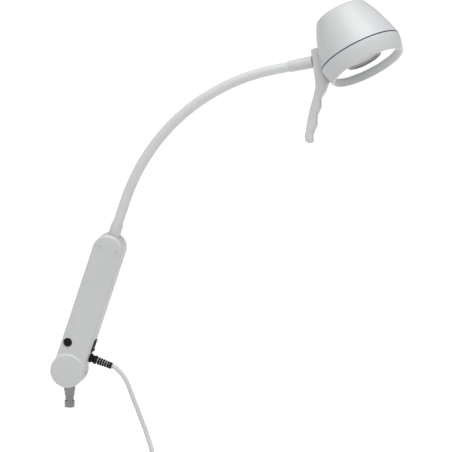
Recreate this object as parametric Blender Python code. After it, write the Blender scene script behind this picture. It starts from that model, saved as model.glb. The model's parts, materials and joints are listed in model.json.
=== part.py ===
"""Examination lamp on a mounting spigot: hinged control box, flexible neck, reflector head with a handle.

Metres, +Z up. The origin is the centre of the spigot's lower end face. The control box's front faces -Y,
and it leans towards +X on its tilt hinge, which runs along Y through the pivot centre.
"""
import math

import bmesh
import bpy
from mathutils import Matrix, Vector

MM = 0.001
HEAD_SIDES = 40                     # facets round the head
GAP = 0.3 * MM                      # clearance between neighbouring pieces that touch in use
FIT = 0.4 * MM                      # radial clearance of a sliding or pushed-in piece

# spigot and tilt hinge
SPIGOT_RADIUS = 8.0 * MM
SPIGOT_GROOVE_RADIUS = 6.8 * MM
SPIGOT_TIP = 11.5 * MM              # plain length below the groove
SPIGOT_GROOVE = 6.9 * MM            # height of the groove
SPIGOT_LENGTH = 27.0 * MM           # insertion length, up to the flange
SPIGOT_CHAMFER = 1.5 * MM
FLANGE_RADIUS = 9.0 * MM
FLANGE_HEIGHT = 7.0 * MM
HINGE_SEAT = 0.5 * MM               # air between the flange and the hub that turns above it
TONGUE_THICKNESS = 5.4 * MM
TONGUE_WIDTH = 14.0 * MM
TONGUE_DISC_RADIUS = 16.0 * MM
BOLT_RADIUS = 4.0 * MM
BOLT_HEAD_RADIUS = 7.5 * MM
BOLT_HEAD = 3.6 * MM
NUT_RADIUS = 7.5 * MM
NUT_HEIGHT = 4.6 * MM
FRICTION_WASHER = 1.0 * MM
CHEEK_THICKNESS = 3.0 * MM
CHEEK_RADIUS = 17.0 * MM
CHEEK_ARM_WIDTH = 22.0 * MM
SPRING_HEIGHT = 2.0 * MM
ARM_LEAN = math.radians(18.3)       # the box leans this far from upright

# control box
HUB_RADIUS = 27.0 * MM
BOX_WIDTH = 48.0 * MM
BOX_LENGTH = 231.0 * MM             # hinge axis to the rounded end
BOX_FRONT = 17.0 * MM               # front face, this far before the hinge plane
BOX_BACK = 20.0 * MM
HUB_FRONT = 20.5 * MM               # face of the raised round pad over the hinge
HUB_PAD_TAPER = 0.8 * MM
BOX_WALL = 2.4 * MM
EDGE_RADIUS = 3.2 * MM
SLOT_WIDTH = 6.0 * MM
SLOT_HALF_ANGLE = math.radians(104.0)

# fittings on the control box, as distances from the hinge axis along the box and across it
BUTTON_ALONG = 44.5 * MM
BUTTON_ACROSS = -13.4 * MM
BUTTON_RADIUS = 4.9 * MM
BUTTON_PROUD = 1.9 * MM
BUTTON_TRAVEL = 1.5 * MM
COLLAR_RADIUS = 7.0 * MM
COLLAR_PROUD = 0.9 * MM
SIDE_FITTING_DEPTH = 5.0 * MM       # rocker and cord exit sit this far behind the hinge plane
ROCKER_ALONG = 48.0 * MM
ROCKER_LENGTH = 16.4 * MM
ROCKER_WIDTH = 11.0 * MM
ROCKER_FRAME_LIP = 2.2 * MM
ROCKER_PROUD = 3.2 * MM             # height of both rocker ends at mid travel
ROCKER_TILT = math.radians(6.4)
ROCKER_SINK = 3.0 * MM              # rocker axis, this far inside the side face
RELIEF_ALONG = 27.6 * MM
RELIEF_LENGTH = 38.0 * MM
RELIEF_ROOT_RADIUS = 7.2 * MM
RELIEF_TIP_RADIUS = 4.7 * MM
RELIEF_RIBS = 5
CAP_ACROSS = 13.3 * MM
CAP_RADIUS = 2.4 * MM
CLAMP_LENGTH = 29.0 * MM
CLAMP_INSET = 12.0 * MM              # from the box's rounded end to the clamp
CLAMP_END = BOX_LENGTH - CLAMP_INSET
CLAMP_START = CLAMP_END - CLAMP_LENGTH
CAP_ALONG = CLAMP_END - 7.0 * MM      # the clamp's screws, near its upper end
CLAMP_WIDTH = 32.0 * MM
CLAMP_DEPTH = 22.0 * MM
BOARD_START = 66.0 * MM
BOARD_LENGTH = 112.0 * MM
BOARD_WIDTH = 34.0 * MM
BOARD_THICKNESS = 1.6 * MM
BOARD_LEVEL = 4.0 * MM              # component side, this far behind the hinge plane
HOUSING_SCREW_RADIUS = 2.6 * MM

# flexible neck
NECK_RADIUS = 8.0 * MM
SLEEVE_WALL = 2.0 * MM
CORE_CLEARANCE = 0.4 * MM
NECK_LEAD = 58.0 * MM               # straight, from the box's rounded end
NECK_BEND_RADIUS = 336.0 * MM
NECK_TURN = math.radians(58.1)
NECK_TAIL = 24.0 * MM               # straight, before the ferrule
NECK_GRIP = 30.0 * MM               # length held inside the box
NECK_COLLAR_RADIUS = NECK_RADIUS + 1.4 * MM
SPLIT_FRONT = NECK_COLLAR_RADIUS + 1.1 * MM    # parting plane of cover and shell, clear of the collar
NECK_COLLAR_REACH = 18.5 * MM       # length of the collar outside the box
NECK_JOINTS = 6
FIRST_JOINT = 48.0 * MM
LAST_JOINT_LEAD = 44.716 * MM        # from the last joint to the ferrule
LINK_GAP = 2.0 * MM                 # half of the opening between two sleeve lengths

# ferrule and head
FERRULE_END_RADIUS = NECK_RADIUS + 1.6 * MM
FERRULE_LIP_RADIUS = NECK_RADIUS + 0.8 * MM
FERRULE_REACH = 39.6 * MM            # ferrule start to the bracket's back face
FERRULE_GRIP = 14.0 * MM            # neck length inside the ferrule
SWIVEL_PIN_RADIUS = 4.5 * MM
SWIVEL_PIN_REACH = 7.0 * MM         # length inside the bracket
BUSH_WALL = 1.2 * MM
HEAD_TILT = math.radians(18.65)     # light axis against the swivel axis' square
HEAD_SWIVEL = math.radians(-19.4)
RING_RADIUS = 67.5 * MM
RING_HEIGHT = 1.3 * MM
RING_RECESS = 0.4 * MM
CUP_SHOULDER_RADIUS = RING_RADIUS - 24.9 * MM
CUP_SHOULDER_HEIGHT = 69.5 * MM
CUP_BULGE = (RING_RADIUS - 11.2 * MM, 46.0 * MM)
CUP_TOP_RADIUS = CUP_SHOULDER_RADIUS - 18.6 * MM
CUP_HEIGHT = 76.3 * MM
CUP_WALL = 2.5 * MM
BEZEL_HEIGHT = 27.5 * MM
BEZEL_LIP_RADIUS = RING_RADIUS - 7.3 * MM
BEZEL_WALL = 3.2 * MM
GLASS_LEVEL = 14.0 * MM             # upper face of the pane, below the ring
GLASS_THICKNESS = 2.0 * MM
GLASS_RADIUS = RING_RADIUS - 11.5 * MM
BARREL_RADIUS = 28.5 * MM
BARREL_HEIGHT = 34.0 * MM
LENS_RING_HEIGHT = 2.4 * MM
REFLECTOR_WALL = 1.2 * MM
REFLECTOR_RISE = 42.0 * MM
SINK_RADIUS = 30.0 * MM
SINK_BASE = 5.0 * MM
SINK_FINS = 7
SINK_FIN_HEIGHT = 9.0 * MM
BRACKET_STAND = 10.0 * MM            # from the ring's edge to the bracket's back face
BRACKET_BACK = RING_RADIUS + BRACKET_STAND
HEAD_REACH = FERRULE_REACH + BRACKET_BACK
HANDLE_WIDTH = 15.0 * MM
HANDLE_THICKNESS = 12.5 * MM
HANDLE_DROP = 124.0 * MM
HANDLE_TIP_BACK = BRACKET_BACK + 25.7 * MM
HANDLE_BOW = 2.6 * MM               # swell of the handle's back edge at half its length
GROOVE_PITCH = 28.7 * MM
GROOVE_START = 13.6 * MM            # deepest point of the first groove, along the handle
GROOVE_DEPTH = 2.4 * MM

# mains lead
CORD_RADIUS = 3.6 * MM
CORD_DEPTH = SIDE_FITTING_DEPTH
COIL_RADIUS = 39.6 * MM
COIL_THICKNESS = 23.0 * MM
COIL_WIDTH = 30.0 * MM
COIL_CENTRE = (0.142, CORD_DEPTH, -0.1455)
TIE_WIDTH = 8.0 * MM
TIE_THICKNESS = 2.0 * MM
PLUG_RADIUS = 18.5 * MM
PLUG_LENGTH = 34.0 * MM
PLUG_NECK_LENGTH = 22.0 * MM
PLUG_PIN_RADIUS = 2.4 * MM
PLUG_PIN_LENGTH = 19.0 * MM
PLUG_PIN_SPACING = 19.0 * MM
PLUG_TOP = (0.152, CORD_DEPTH, -0.2280)


def material(name, hex_colour, roughness, metallic=0.0):
    """A Principled material from an sRGB hex colour."""
    channels = [int(hex_colour[i:i + 2], 16) / 255 for i in (0, 2, 4)]
    linear = [c / 12.92 if c <= 0.04045 else ((c + 0.055) / 1.055) ** 2.4 for c in channels]
    made = bpy.data.materials.new(name)
    made.use_nodes = True
    shader = made.node_tree.nodes["Principled BSDF"]
    shader.inputs["Base Color"].default_value = (*linear, 1.0)
    shader.inputs["Roughness"].default_value = roughness
    shader.inputs["Metallic"].default_value = metallic
    return made


def frame(name, place, parent=None):
    """An empty that carries pieces, placed by a matrix in its parent's frame."""
    empty = bpy.data.objects.new(name, None)
    bpy.context.collection.objects.link(empty)
    empty.parent = parent
    empty.matrix_basis = place
    return empty


def world(carrier):
    """The world matrix of an empty, from its own and its parents' places."""
    return (world(carrier.parent) if carrier.parent else Matrix()) @ carrier.matrix_basis


def along(x=0.0, y=0.0, z=0.0):
    """A move by (x, y, z)."""
    return Matrix.Translation((x, y, z))


def turn(angle, axis):
    """A turn about one of the axes X, Y and Z."""
    return Matrix.Rotation(angle, 4, axis)


def add(name, mesh_data, finish, carrier, place=None):
    """Make a named object from a bmesh, on its carrier, shaded smooth except at its edges."""
    bmesh.ops.recalc_face_normals(mesh_data, faces=mesh_data.faces)
    mesh = bpy.data.meshes.new(name)
    mesh_data.to_mesh(mesh)
    mesh_data.free()
    mesh.materials.append(finish)
    mesh.shade_smooth()
    mesh.set_sharp_from_angle(angle=math.radians(35))
    piece = bpy.data.objects.new(name, mesh)
    bpy.context.collection.objects.link(piece)
    piece.parent = carrier
    piece.matrix_basis = place or Matrix()
    return piece


def lathe(profile, segments, closed=False):
    """Turn a profile of (radius, height) points about Z. A closed profile makes a ring."""
    turned = bmesh.new()
    rows = []
    for radius, height in profile:
        if radius < 1e-7:
            rows.append([turned.verts.new((0, 0, height))])
            continue
        angles = [2 * math.pi * i / segments for i in range(segments)]
        rows.append([turned.verts.new((radius * math.cos(a), radius * math.sin(a), height)) for a in angles])
    pairs = list(zip(rows, rows[1:]))
    if closed:
        pairs.append((rows[-1], rows[0]))
    for low, high in pairs:
        for i in range(segments):
            j = (i + 1) % segments
            corners = [low[i % len(low)], low[j % len(low)], high[j % len(high)], high[i % len(high)]]
            turned.faces.new(list(dict.fromkeys(corners)))
    if not closed:
        for row in (rows[0], rows[-1]):
            if len(row) > 1:
                turned.faces.new(row)
    return turned


def prism(outline, low, high, rounding=0.0):
    """Extrude an outline of (x, z) points along Y, with the long edges rounded by a bevel."""
    body = bmesh.new()
    base = body.faces.new([body.verts.new((x, low, z)) for x, z in outline])
    moved = bmesh.ops.extrude_face_region(body, geom=[base])["geom"]
    shifted = [v for v in moved if isinstance(v, bmesh.types.BMVert)]
    bmesh.ops.translate(body, verts=shifted, vec=(0, high - low, 0))
    if rounding:
        rims = [e for e in body.edges if abs(e.verts[0].co.y - e.verts[1].co.y) < 1e-9]
        bmesh.ops.bevel(body, geom=rims, offset=rounding, segments=2, affect="EDGES", profile=0.5)
    return body


def box(size, rounding=0.0):
    """A box centred on the origin."""
    body = bmesh.new()
    bmesh.ops.create_cube(body, size=1.0)
    bmesh.ops.scale(body, vec=size, verts=body.verts)
    if rounding:
        bmesh.ops.bevel(body, geom=body.edges[:], offset=rounding, segments=1, affect="EDGES")
    return body


def sweep(rings, segments, hollow=()):
    """Skin rings given as (place, radius); hollow adds the rings of a bore, so the tube stays open."""
    body = bmesh.new()
    rows = []
    for place, radius in list(rings) + list(reversed(hollow)):
        if radius < 1e-7:
            rows.append([body.verts.new(place.translation)])
            continue
        angles = [2 * math.pi * i / segments for i in range(segments)]
        rows.append([body.verts.new(place @ Vector((radius * math.cos(a), radius * math.sin(a), 0)))
                     for a in angles])
    pairs = list(zip(rows, rows[1:]))
    if hollow:
        pairs.append((rows[-1], rows[0]))
    for low, high in pairs:
        for i in range(segments):
            j = (i + 1) % segments
            corners = [low[i % len(low)], low[j % len(low)], high[j % len(high)], high[i % len(high)]]
            body.faces.new(list(dict.fromkeys(corners)))
    if not hollow:
        for row in (rows[0], rows[-1]):
            if len(row) > 1:
                body.faces.new(row)
    return body


def cut(piece, name, mesh_data, carrier, place=None, operation="DIFFERENCE"):
    """Cut a piece with (or join it to) a hidden solid."""
    tool = add(name, mesh_data, piece.data.materials[0], carrier, place)
    tool.hide_render = True
    tool.display_type = "WIRE"
    change = piece.modifiers.new(name, "BOOLEAN")
    change.operation = operation
    change.object = tool
    change.solver = "EXACT"
    return tool


def arc(centre, radius, start, end, steps):
    """Points on an arc in a plane, both ends included."""
    angles = [start + (end - start) * i / steps for i in range(steps + 1)]
    return [(centre[0] + radius * math.cos(a), centre[1] + radius * math.sin(a)) for a in angles]


def bezier(start, control, end, steps):
    """Points on a quadratic curve, without its first point."""
    points = []
    for i in range(1, steps + 1):
        t = i / steps
        points.append(tuple((1 - t) ** 2 * a + 2 * t * (1 - t) * c + t * t * b
                            for a, c, b in zip(start, control, end)))
    return points


def facing(direction):
    """A turn that takes +Z to a direction in the XZ plane, given as an angle from +Z towards +X."""
    return turn(direction, "Y")


# ------------------------------------------------------------------ spigot and tilt hinge
PIVOT_HEIGHT = SPIGOT_LENGTH + FLANGE_HEIGHT + HINGE_SEAT + HUB_RADIUS
WASHER_INNER = TONGUE_THICKNESS / 2 + GAP
CHEEK_INNER = WASHER_INNER + FRICTION_WASHER + GAP
CHEEK_OUTER = CHEEK_INNER + CHEEK_THICKNESS
SPRING_START = CHEEK_OUTER + GAP
NUT_START = SPRING_START + SPRING_HEIGHT + GAP
BOLT_HOLE = BOLT_RADIUS + FIT


def build_spigot(steel):
    """The turned spigot with its locking groove and flange, and the flat tongue above it."""
    groove_end = SPIGOT_TIP + SPIGOT_GROOVE
    slope = SPIGOT_RADIUS - SPIGOT_GROOVE_RADIUS
    profile = [(0, 0), (SPIGOT_RADIUS - SPIGOT_CHAMFER, 0), (SPIGOT_RADIUS, SPIGOT_CHAMFER),
               (SPIGOT_RADIUS, SPIGOT_TIP - slope), (SPIGOT_GROOVE_RADIUS, SPIGOT_TIP),
               (SPIGOT_GROOVE_RADIUS, groove_end), (SPIGOT_RADIUS, groove_end + slope),
               (SPIGOT_RADIUS, SPIGOT_LENGTH), (FLANGE_RADIUS, SPIGOT_LENGTH),
               (FLANGE_RADIUS, SPIGOT_LENGTH + FLANGE_HEIGHT), (0, SPIGOT_LENGTH + FLANGE_HEIGHT)]
    base = frame("base_frame", Matrix())
    add("mounting_spigot", lathe(profile, 32), steel, base)
    hinge = frame("hinge_frame", along(z=PIVOT_HEIGHT), base)
    half = TONGUE_WIDTH / 2
    start = -math.pi / 2 + math.asin(half / TONGUE_DISC_RADIUS)
    outline = arc((0, 0), TONGUE_DISC_RADIUS, start, math.pi - start, 28)
    foot = SPIGOT_LENGTH + FLANGE_HEIGHT + GAP - PIVOT_HEIGHT
    outline += [(-half, foot), (half, foot)]
    tongue = add("pivot_tongue", prism(outline, -TONGUE_THICKNESS / 2, TONGUE_THICKNESS / 2), steel, hinge)
    cut(tongue, "tongue_hole", rod(BOLT_HOLE, -TONGUE_THICKNESS, TONGUE_THICKNESS), hinge)
    return hinge


def rod(radius, low, high, segments=24):
    """A cylinder along Y."""
    body = lathe([(radius, low), (radius, high)], segments)
    bmesh.ops.rotate(body, verts=body.verts, cent=(0, 0, 0), matrix=Matrix.Rotation(-math.pi / 2, 3, "X"))
    return body


def ring_along_y(inner, outer, low, high, segments=24):
    """A flat ring whose axis is Y."""
    profile = [(inner, low), (outer, low), (outer, high), (inner, high)]
    body = lathe(profile, segments, closed=True)
    bmesh.ops.rotate(body, verts=body.verts, cent=(0, 0, 0), matrix=Matrix.Rotation(-math.pi / 2, 3, "X"))
    return body


def build_hinge(arm, steel, zinc, friction):
    """Bolt, nut, washers, spring and the two cheeks that clamp the tongue inside the hub."""
    add("friction_washer_front", ring_along_y(BOLT_HOLE, TONGUE_DISC_RADIUS - 1 * MM,
                                              -WASHER_INNER - FRICTION_WASHER, -WASHER_INNER), friction, arm)
    add("friction_washer_rear", ring_along_y(BOLT_HOLE, TONGUE_DISC_RADIUS - 1 * MM,
                                             WASHER_INNER, WASHER_INNER + FRICTION_WASHER), friction, arm)
    half = CHEEK_ARM_WIDTH / 2
    top = BOARD_START - 6 * MM
    start = math.atan2(math.sqrt(CHEEK_RADIUS ** 2 - half ** 2), half)
    outline = arc((0, 0), CHEEK_RADIUS, start - 2 * math.pi, -math.pi - start, 24)
    outline = [(half, top)] + outline + [(-half, top)]
    for side, name in ((-1, "hinge_cheek_front"), (1, "hinge_cheek_rear")):
        low, high = sorted((side * CHEEK_INNER, side * CHEEK_OUTER))
        cheek = add(name, prism(outline, low, high), zinc, arm)
        cut(cheek, name + "_hole", rod(BOLT_HOLE, low - MM, high + MM), arm)
    spacer_start = TONGUE_DISC_RADIUS + 8 * MM
    spacer = box((2 * half, 2 * (CHEEK_INNER - GAP), top - spacer_start), 0.4 * MM)
    add("cheek_spacer", spacer, zinc, arm, along(z=(top + spacer_start) / 2))
    seat = -CHEEK_OUTER - GAP
    bolt_end = NUT_START + NUT_HEIGHT + MM
    bolt = lathe([(0, seat - BOLT_HEAD), (BOLT_HEAD_RADIUS - 0.6 * MM, seat - BOLT_HEAD),
                  (BOLT_HEAD_RADIUS, seat - BOLT_HEAD + 0.8 * MM), (BOLT_HEAD_RADIUS, seat),
                  (BOLT_RADIUS, seat), (BOLT_RADIUS, bolt_end), (0, bolt_end)], 24)
    bmesh.ops.rotate(bolt, verts=bolt.verts, cent=(0, 0, 0), matrix=Matrix.Rotation(-math.pi / 2, 3, "X"))
    add("pivot_bolt", bolt, steel, arm)
    spring = lathe([(BOLT_HOLE, SPRING_START + 0.8 * MM), (NUT_RADIUS + MM, SPRING_START),
                    (NUT_RADIUS + MM, SPRING_START + 0.9 * MM), (BOLT_HOLE, SPRING_START + SPRING_HEIGHT)],
                   24, closed=True)
    bmesh.ops.rotate(spring, verts=spring.verts, cent=(0, 0, 0), matrix=Matrix.Rotation(-math.pi / 2, 3, "X"))
    add("disc_spring", spring, steel, arm)
    nut_points = [(NUT_RADIUS * math.cos(a), NUT_RADIUS * math.sin(a))
                  for a in (math.pi / 3 * i for i in range(6))]
    nut = add("pivot_nut", prism(nut_points, NUT_START, NUT_START + NUT_HEIGHT), steel, arm)
    cut(nut, "nut_hole", rod(BOLT_HOLE, NUT_START - MM, NUT_START + NUT_HEIGHT + MM), arm)


# ------------------------------------------------------------------ control box
def box_outline(inset, arc_steps=16):
    """The box's outline in (x, z), moved inwards: the round hub, straight sides and the round end."""
    hub = HUB_RADIUS - inset
    half = BOX_WIDTH / 2 - inset
    end_centre = BOX_LENGTH - BOX_WIDTH / 2
    corner = math.asin(half / hub)
    points = arc((0, 0), hub, math.pi / 2 + corner, 2.5 * math.pi - corner, arc_steps * 2)
    points += arc((0, end_centre), half, 0, math.pi, arc_steps)
    return points


def half_shell(split, face, wall):
    """A tub with the box's outline: open at the split plane, with a rounded edge round its face."""
    side = math.copysign(1, face - split)
    outer = [(split, 0.0)]
    for step in range(4):
        bend = math.pi / 2 * step / 3
        depth = face - side * EDGE_RADIUS * (1 - math.sin(bend))
        outer.append((depth, EDGE_RADIUS * (1 - math.cos(bend))))
    inner = [(face - side * wall, wall + EDGE_RADIUS / 2), (split, wall)]
    tub = bmesh.new()
    rows = []
    for depth, inset in outer + inner:
        rows.append([tub.verts.new((x, depth, z)) for x, z in box_outline(inset)])
    count = len(rows[0])
    skins = list(zip(rows[:len(outer) - 1], rows[1:len(outer)])) + [(rows[-2], rows[-1]), (rows[-1], rows[0])]
    for low, high in skins:
        for i in range(count):
            j = (i + 1) % count
            tub.faces.new([low[i], low[j], high[j], high[i]])
    tub.faces.new(rows[len(outer) - 1])
    tub.faces.new(rows[len(outer)])
    return tub


def build_box(arm, white):
    """The deep rear shell and the front cover with its raised pad over the hinge."""
    shell = add("rear_shell", half_shell(-SPLIT_FRONT, BOX_BACK, BOX_WALL), white, arm)
    tail = -math.pi / 2
    sector = arc((0, 0), TONGUE_DISC_RADIUS + 5 * MM, tail - SLOT_HALF_ANGLE, tail + SLOT_HALF_ANGLE, 24)
    sector += arc((0, 0), HUB_RADIUS + 8 * MM, tail + SLOT_HALF_ANGLE, tail - SLOT_HALF_ANGLE, 24)
    cut(shell, "hinge_slot", prism(sector, -SLOT_WIDTH / 2, SLOT_WIDTH / 2), arm)
    hole_radius = NECK_COLLAR_RADIUS + FIT
    neck_hole = lathe([(hole_radius, CLAMP_END + 2 * MM), (hole_radius, BOX_LENGTH + 5 * MM)], 24)
    cut(shell, "neck_hole", neck_hole, arm)
    window = box((12 * MM, ROCKER_WIDTH + 2 * ROCKER_FRAME_LIP - 1 * MM,
                  ROCKER_LENGTH + 2 * ROCKER_FRAME_LIP - 1 * MM))
    cut(shell, "rocker_window", window, arm, along(BOX_WIDTH / 2, SIDE_FITTING_DEPTH, ROCKER_ALONG))
    relief_hole = lathe([(RELIEF_TIP_RADIUS + FIT, -6 * MM), (RELIEF_TIP_RADIUS + FIT, 6 * MM)], 24)
    cut(shell, "relief_hole", relief_hole, arm,
        along(BOX_WIDTH / 2, SIDE_FITTING_DEPTH, RELIEF_ALONG) @ turn(math.pi / 2, "Y"))
    cover = add("front_cover", half_shell(-SPLIT_FRONT - GAP, -BOX_FRONT, BOX_WALL), white, arm)
    pad = lathe([(0, BOX_FRONT - 1.2 * MM), (HUB_RADIUS - 0.4 * MM, BOX_FRONT - 1.2 * MM),
                 (HUB_RADIUS - 0.4 * MM, BOX_FRONT + 0.4 * MM),
                 (HUB_RADIUS - HUB_PAD_TAPER, HUB_FRONT - 0.5 * MM),
                 (HUB_RADIUS - HUB_PAD_TAPER - 0.6 * MM, HUB_FRONT), (0, HUB_FRONT)], 48)
    cut(cover, "hub_pad", pad, arm, turn(math.pi / 2, "X"), "UNION")
    pocket = rod(HUB_RADIUS - HUB_PAD_TAPER - BOX_WALL, -HUB_FRONT + BOX_WALL, -SPLIT_FRONT + MM, 32)
    cut(cover, "hub_pocket", pocket, arm)
    hole = rod(BUTTON_RADIUS + FIT, -BOX_FRONT - 3 * MM, -SPLIT_FRONT, 24)
    cut(cover, "button_hole", hole, arm, along(BUTTON_ACROSS, 0, BUTTON_ALONG))
    for side, name in ((-1, "cap_hole_left"), (1, "cap_hole_right")):
        hole = rod(CAP_RADIUS / 2 + FIT, -BOX_FRONT - 3 * MM, -SPLIT_FRONT, 16)
        cut(cover, name, hole, arm, along(side * CAP_ACROSS, 0, CAP_ALONG))
    return shell


def screw(head_radius, head_height, shank_radius, shank_length, segments=16):
    """A screw along Z, its domed head above the seat at z = 0."""
    profile = [(0, -shank_length), (shank_radius, -shank_length), (shank_radius, 0), (head_radius, 0),
               (head_radius, head_height * 0.35), (head_radius * 0.72, head_height * 0.85), (0, head_height)]
    return lathe(profile, segments)


def build_neck_hold(arm, white, zinc):
    """The clamp that grips the neck inside the box, and the collar round it where it leaves the box."""
    block = box((CLAMP_WIDTH, CLAMP_DEPTH - FIT, CLAMP_END - CLAMP_START), 1 * MM)
    clamp = add("neck_clamp", block, zinc, arm, along(z=(CLAMP_END + CLAMP_START) / 2))
    inner = NECK_RADIUS + GAP
    cut(clamp, "clamp_bore", lathe([(inner, CLAMP_START - MM), (inner, CLAMP_END + MM)], 24), arm)
    top = BOX_LENGTH + NECK_COLLAR_REACH
    collar = [(inner, CLAMP_END + GAP), (NECK_COLLAR_RADIUS, CLAMP_END + GAP),
              (NECK_COLLAR_RADIUS, top - 1.2 * MM), (NECK_COLLAR_RADIUS - 0.8 * MM, top), (inner, top)]
    add("neck_collar", lathe(collar, 32, closed=True), white, arm)


def build_fittings(arm, shell, white, steel, board_green, zinc):
    """The screws of the clamp and the housing, and the driver with its board."""
    for side, name in ((-1, "left"), (1, "right")):
        cap = screw(CAP_RADIUS, 1.4 * MM, CAP_RADIUS / 2, BOX_FRONT - CLAMP_DEPTH / 2 - MM)
        add(f"clamp_screw_{name}", cap, white, arm,
            along(side * CAP_ACROSS, -BOX_FRONT - GAP, CAP_ALONG) @ turn(math.pi / 2, "X"))
    for height, name in ((BOARD_START - 6 * MM, "lower"), (CLAMP_START - 8 * MM, "upper")):
        head = screw(HOUSING_SCREW_RADIUS, 1.2 * MM, HOUSING_SCREW_RADIUS / 2, 10 * MM)
        seat = along(0, BOX_BACK + GAP, height) @ turn(-math.pi / 2, "X")
        add(f"housing_screw_{name}", head, steel, arm, seat)
        hole = rod(HOUSING_SCREW_RADIUS / 2 + FIT, BOX_BACK - 6 * MM, BOX_BACK + 4 * MM, 12)
        cut(shell, f"screw_hole_{name}", hole, arm, along(z=height))
    middle = BOARD_START + BOARD_LENGTH / 2
    driver = frame("driver_frame", along(z=middle), arm)
    add("driver_board", box((BOARD_WIDTH, BOARD_THICKNESS, BOARD_LENGTH)), board_green, driver,
        along(y=BOARD_LEVEL + BOARD_THICKNESS / 2))
    can = box((22 * MM, 12 * MM, 30 * MM), 1 * MM)
    add("driver_transformer", can, zinc, driver, along(0, BOARD_LEVEL - 6 * MM - GAP, 8 * MM))


def build_button(arm, black, steel):
    """A push button in its collar, with its return spring and the switch behind it."""
    face = -BOX_FRONT
    seat = frame("button_frame", along(BUTTON_ACROSS, face, BUTTON_ALONG) @ turn(math.pi / 2, "X"), arm)
    collar = [(BUTTON_RADIUS + FIT, GAP), (COLLAR_RADIUS, GAP), (COLLAR_RADIUS, COLLAR_PROUD * 0.6),
              (COLLAR_RADIUS - 0.6 * MM, COLLAR_PROUD), (BUTTON_RADIUS + FIT, COLLAR_PROUD)]
    add("button_collar", lathe(collar, 32, closed=True), black, seat)
    skirt = 4.0 * MM
    cap = [(0, -skirt + BUTTON_TRAVEL), (BUTTON_RADIUS, -skirt + BUTTON_TRAVEL),
           (BUTTON_RADIUS, BUTTON_PROUD * 0.7), (BUTTON_RADIUS - 0.5 * MM, BUTTON_PROUD),
           (0, BUTTON_PROUD + 0.2 * MM)]
    add("push_button", lathe(cap, 32), black, seat)
    below = -skirt + BUTTON_TRAVEL - GAP
    coil = [(1.9 * MM, below - 2.2 * MM - BUTTON_TRAVEL), (2.6 * MM, below - 2.2 * MM - BUTTON_TRAVEL),
            (2.6 * MM, below - BUTTON_TRAVEL), (1.9 * MM, below - BUTTON_TRAVEL)]
    add("button_spring", lathe(coil, 16, closed=True), steel, seat)


def build_rocker(arm, black):
    """The mains rocker on the box's side: its axis runs along Y, just inside the side face."""
    side_face = BOX_WIDTH / 2
    seat = frame("rocker_seat", along(side_face, SIDE_FITTING_DEPTH, ROCKER_ALONG), arm)
    opening_length = ROCKER_LENGTH + 1.4 * MM
    opening_width = ROCKER_WIDTH + 2 * FIT
    lip = box((1.5 * MM, ROCKER_WIDTH + 2 * ROCKER_FRAME_LIP, ROCKER_LENGTH + 2 * ROCKER_FRAME_LIP), 0.4 * MM)
    rocker_frame = add("rocker_frame", lip, black, seat, along(GAP + 0.75 * MM))
    neck = box((9 * MM, opening_width + 2.0 * MM, opening_length + 2.0 * MM))
    cut(rocker_frame, "frame_body", neck, seat, along(-3.6 * MM), "UNION")
    hollow = box((20 * MM, opening_width, opening_length))
    cut(rocker_frame, "frame_opening", hollow, seat)
    axis = frame("rocker_axis", along(-ROCKER_SINK) @ turn(-ROCKER_TILT, "Y"), seat)
    half = ROCKER_LENGTH / 2
    height = ROCKER_SINK + ROCKER_PROUD
    outline = [(-0.5 * MM, -half), (height, -half + 0.4 * MM), (height - 2.0 * MM, 0),
               (height, half - 0.4 * MM), (-0.5 * MM, half)]
    add("rocker_switch", prism(outline, -ROCKER_WIDTH / 2, ROCKER_WIDTH / 2), black, axis)


def build_relief(arm, black):
    """The ribbed boot that protects the lead where it leaves the box, pointing along local +X."""
    exit_place = along(BOX_WIDTH / 2 + GAP, SIDE_FITTING_DEPTH, RELIEF_ALONG) @ turn(math.pi / 2, "Y")
    seat = frame("relief_frame", exit_place, arm)
    profile = [(0, -5 * MM), (RELIEF_TIP_RADIUS, -5 * MM), (RELIEF_TIP_RADIUS, 0), (RELIEF_ROOT_RADIUS, 0),
               (RELIEF_ROOT_RADIUS, 3 * MM)]
    pitch = (RELIEF_LENGTH - 10 * MM) / RELIEF_RIBS
    for rib in range(RELIEF_RIBS):
        start = 3 * MM + rib * pitch
        slimmer = (RELIEF_ROOT_RADIUS - RELIEF_TIP_RADIUS) * (rib + 1) / (RELIEF_RIBS + 1)
        radius = RELIEF_ROOT_RADIUS - slimmer
        profile += [(CORD_RADIUS + 0.7 * MM, start + 0.2 * MM), (CORD_RADIUS + 0.7 * MM, start + pitch * 0.4),
                    (radius, start + pitch * 0.45), (radius, start + pitch)]
    profile += [(RELIEF_TIP_RADIUS, RELIEF_LENGTH - 6.8 * MM), (RELIEF_TIP_RADIUS, RELIEF_LENGTH - 0.6 * MM),
                (RELIEF_TIP_RADIUS - 0.6 * MM, RELIEF_LENGTH), (0, RELIEF_LENGTH)]
    add("strain_relief", lathe(profile, 16), black, seat)


# ------------------------------------------------------------------ flexible neck
def neck_place(distance):
    """World place on the neck's centreline: z runs along it, measured from the box's rounded end."""
    lean = ARM_LEAN
    start = Vector((math.sin(lean), 0, math.cos(lean))) * (BOX_LENGTH + min(distance, NECK_LEAD))
    start += Vector((0, 0, PIVOT_HEIGHT))
    beyond = distance - NECK_LEAD
    if beyond <= 0:
        return Matrix.Translation(start) @ facing(lean)
    bent = min(beyond, NECK_BEND_RADIUS * NECK_TURN)
    heading = lean + bent / NECK_BEND_RADIUS
    rise = math.sin(heading) - math.sin(lean)
    start += NECK_BEND_RADIUS * Vector((math.cos(lean) - math.cos(heading), 0, rise))
    straight = beyond - bent
    start += Vector((math.sin(heading), 0, math.cos(heading))) * straight
    return Matrix.Translation(start) @ facing(heading)


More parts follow.
